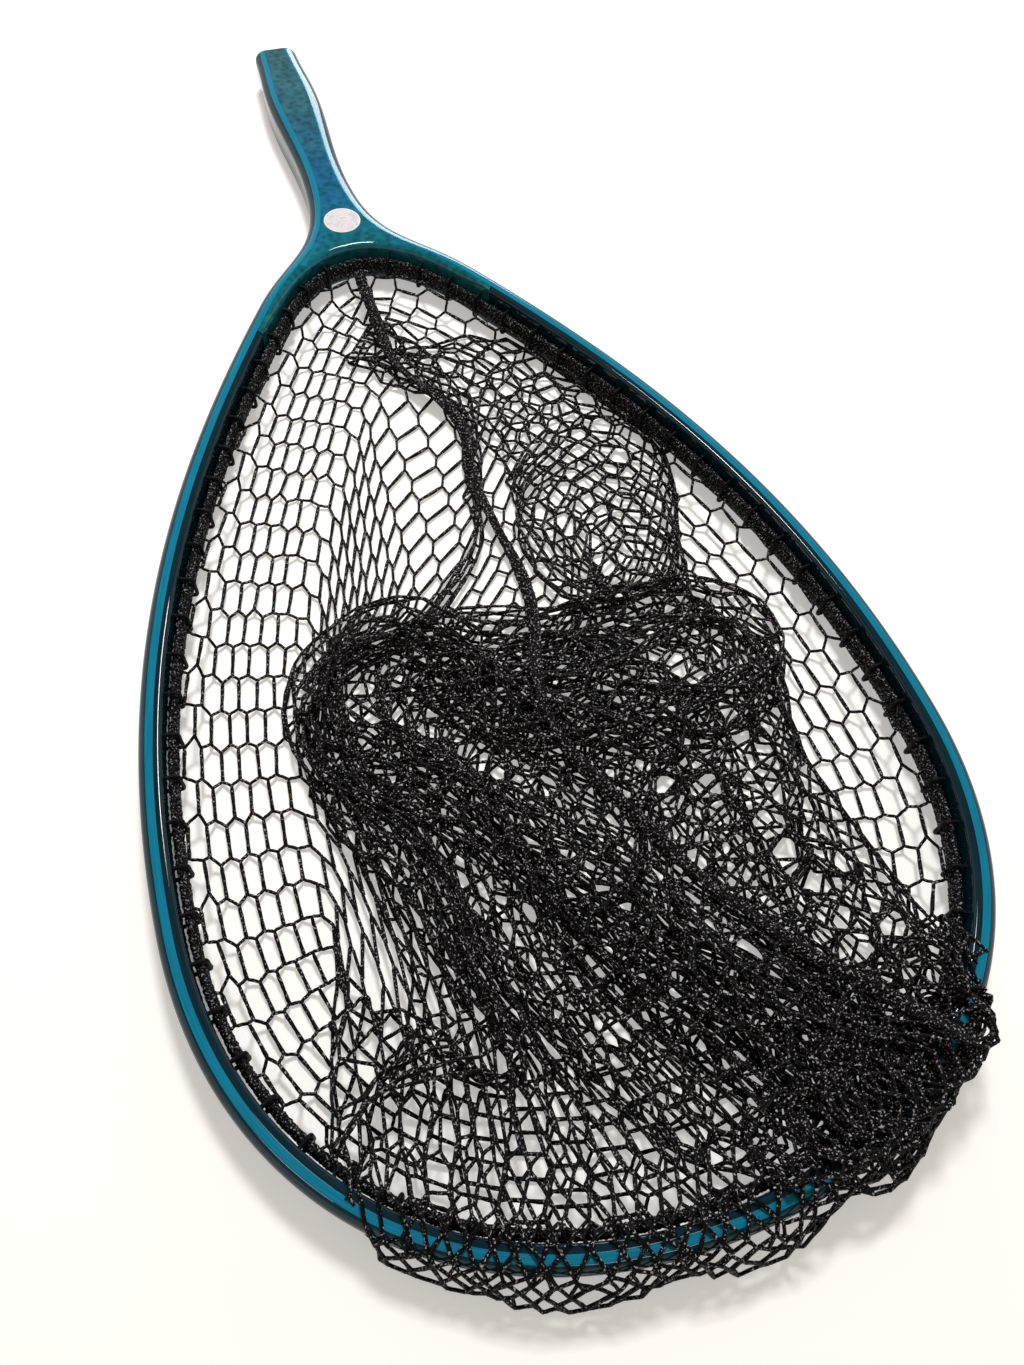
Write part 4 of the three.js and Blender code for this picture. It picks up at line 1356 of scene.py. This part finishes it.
def drape():
    """Ends of all the bars after the bag is laid down, in millimetres from the tip."""
    x = first_bag.copy()
    before = x.copy()
    for step in range(STEPS):
        move = (x - before) * CARRY
        move *= np.minimum(1, LONGEST_MOVE / np.maximum(np.linalg.norm(move, axis=1), TINY))[:, None]
        before = x.copy()
        x = x + move * free[:, None]
        x[:, 2] -= WEIGHT * free
        if step % RANK_EVERY == 0:
            ranks = layer_ranks(x)
        settled = ease((step - LOWERING) / LAYERS_OVER + LAYERS_EARLY)
        floor = ON_TABLE + np.minimum(ranks, MOST_RANKS) * LAYER * settled
        if step > SPREAD_FROM:
            x[sliding, :2] += spreading(x, sliding)
        for turn in range(ROUNDS):
            correct_lengths(x, turn)
            lead(x, step, ease(step / LOWERING))
            if turn % CLEAR_EVERY == CLEAR_EVERY - 1:
                keep_clear(x, step, floor)
        resting = (x[:, 2] < floor + RESTING_GAP) & (free > 0)
        before[resting, :2] += (x[resting, :2] - before[resting, :2]) * GRIP_OF_TABLE
    return x.reshape(2, COLUMNS, ROWS, 3)


bag = drape()
bar_stretch = np.linalg.norm(bag[1] - bag[0], axis=-1) / BAR
print("bars are stretched by", round(float(np.median(bar_stretch)), 3), "and the pile is",
      round(float(np.percentile(bag[..., 2], 99)), 1), "mm high")

# %% [markdown]
# A tree turns lines of points into round twine: each line becomes a smooth curve through its
# points, with a small polygon swept along it.

# %% Node tree of twine
tree, given = new_tree("round twine along lines", {
    "Twine radius": "Float", "Twine sides": "Int", "Smoothing": "Int", "Material": "Material"})
twine_tree = tree
line = add(tree, "GeometryNodeMeshToCurve", {"Mesh": given["Geometry"]})
line = add(tree, "GeometryNodeCurveSplineType", {"Curve": line}, spline_type="CATMULL_ROM")
line = add(tree, "GeometryNodeSetSplineResolution", {
    "Geometry": line, "Resolution": given["Smoothing"]})
section = add(tree, "GeometryNodeCurvePrimitiveCircle", {
    "Resolution": given["Twine sides"], "Radius": given["Twine radius"]})
tube = add(tree, "GeometryNodeCurveToMesh", {
    "Curve": line, "Profile Curve": section, "Fill Caps": True})
close_tree(tree, tube, given["Material"])

# %% [markdown]
# Now the twines. One set of twines runs to the right and down, the other to the left and down,
# and every bar is one of each twisted together. The points below follow each twine through the
# middle of its bars, a little to one side. The bag is five pieces, a fifth of its rows each, to
# keep each mesh light.

# %% Twines of the bag
BAR_PLACES = np.array((0.06, 0.35, 0.65, 0.94))
TWIST = 0.15
TWIST_TURNS = 0.75
TWIST_ENDS = (0.12, 0.88)
LEAD_IN = 0.6
TWINE_SIDES = 5
TWINE_SMOOTHING = 2
BANDS = 5


def bar_points():
    """Points on the two twines of every bar, [twine, column, row, place, xyz]."""
    start, run = bag[0], bag[1] - bag[0]
    ahead = run / np.maximum(np.linalg.norm(run, axis=-1), TINY)[..., None]
    side = np.cross(ahead, upward)
    side /= np.maximum(np.linalg.norm(side, axis=-1), TINY)[..., None]
    top = np.cross(side, ahead)
    angle = 2 * np.pi * TWIST_TURNS * BAR_PLACES
    swing = TWIST * TWINE * np.sin(np.pi * np.clip(BAR_PLACES, *TWIST_ENDS)) ** 0.5
    around = (side[..., None, :] * (np.cos(angle) * swing)[:, None]
              + top[..., None, :] * (np.sin(angle) * swing)[:, None])
    middle = start[..., None, :] + run[..., None, :] * BAR_PLACES[:, None]
    return np.stack([middle + around, middle - around])


def twine_lines(first_row, last_row):
    """Points and edges of the twines in some rows, each with its leg down to the next bar."""
    points, edges = [], []
    for twine, step in ((0, 1), (1, -1)):
        order = slice(None, None, step)
        for i in column:
            beside = (i + step) % COLUMNS
            for j in range(first_row, last_row):
                own = twined[twine, i, j][order]
                if j == 0 and not odd[i]:
                    in_band = along_wall(bar_shares[twine, i], FIT_GAP + BAND_THICKNESS * LEAD_IN)
                    own = np.concatenate([[(*in_band, MID_HEIGHT)], own])
                if j + odd[i] < ROWS:
                    after = twined[twine, beside, j + odd[i]][order]
                    own = np.concatenate([own, [(own[-1] + after[0]) / 2], after[:1]])
                base = len(points)
                points.extend(own)
                edges.extend((base + a, base + b) for a, b in in_line(len(own)))
    return np.array(points), edges


twined = bar_points()
netting = []
for b in range(BANDS):
    first, last = round(b * ROWS / BANDS), round((b + 1) * ROWS / BANDS)
    source = guide("twine_lines", *twine_lines(first, last))
    piece = from_tree(f"netting_{b + 1}", source, twine_tree, {
        "Twine radius": TWINE / 2 * MM, "Twine sides": TWINE_SIDES,
        "Smoothing": TWINE_SMOOTHING, "Material": net_yarn})
    netting.append(piece)
    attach(piece, "root")
    print(piece.name, "rows", first, "to", last, "with", len(piece.data.polygons), "faces")
for piece in netting:
    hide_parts("net_bag", "bag_end")

# %% [markdown]
# The bag was one flat net, folded and closed along its side by a laced seam. Seen on the pile it
# is a thick black ribbon, so it is the same braid as the head band, smaller, laid along the first
# column of the draped netting and lifted on to whatever lies under it. A loose ribbon never lies
# quite flat, so it rolls a little to one side and the other on its way.

# %% Laced seam
SEAM_WIDTH = 5.6
SEAM_DEPTH = 2.6
SEAM_STRAND = 0.65
SEAM_LIFT = 0.3
SEAM_WAVE = 12.0
SEAM_SPACING = 1.2
SEAM_POINTS = 300
SEAM_ROLL = 0.7
SEAM_ROLL_LENGTH = 95.0
ROUTE_ROUNDS = 4
HEIGHT_ROUNDS = 30
TOP_PERCENT = 85
LAID_ABOVE = 1.0


def smooth(values, rounds):
    """Averages the inner points of a line with their neighbours, some times over, in place."""
    for _ in range(rounds):
        values[1:-1] = (values[:-2] + 2 * values[1:-1] + values[2:]) / 4


seam_path = bag[:, 0].mean(0)
smooth(seam_path, ROUTE_ROUNDS)
seam_path = evenly(seam_path, SEAM_POINTS)
under_it = np.concatenate([bag[0].reshape(-1, 3), bag[1].reshape(-1, 3), bag.mean(0).reshape(-1, 3)])
for p in seam_path:
    near = np.linalg.norm(under_it[:, :2] - p[:2], axis=1) < SEAM_WIDTH
    if near.any():
        p[2] = max(p[2], np.percentile(under_it[near, 2], TOP_PERCENT))
    p[2] += LAID_ABOVE
smooth(seam_path[:, 2], HEIGHT_ROUNDS)
flat_side = np.column_stack([left_turned(seam_path[:, :2]), np.zeros(SEAM_POINTS)])
seam_along = lengths(seam_path)
seam_length = seam_along[-1]
roll = SEAM_ROLL * np.sin(2 * np.pi * seam_along / SEAM_ROLL_LENGTH)[:, None]
seam_guide = guide("seam_line", seam_path, in_line(SEAM_POINTS),
                   side=flat_side * np.cos(roll) + upward * np.sin(roll),
                   out=upward * np.cos(roll) - flat_side * np.sin(roll))
seam = from_tree("seam_braid", seam_guide, braid_tree, {
    "Turns": seam_length / SEAM_WAVE, "Half width": (SEAM_WIDTH / 2 - SEAM_STRAND) * MM,
    "Half depth": (SEAM_DEPTH / 2 - SEAM_STRAND) * MM, "Lift": SEAM_LIFT * MM,
    "Strand radius": SEAM_STRAND * MM, "Strand sides": STRAND_SIDES,
    "Point spacing": SEAM_SPACING * MM, "Material": net_yarn})
as_piece(seam, "tie_cord", "seam_lacing")
print("seam is", round(seam_length), "mm long")
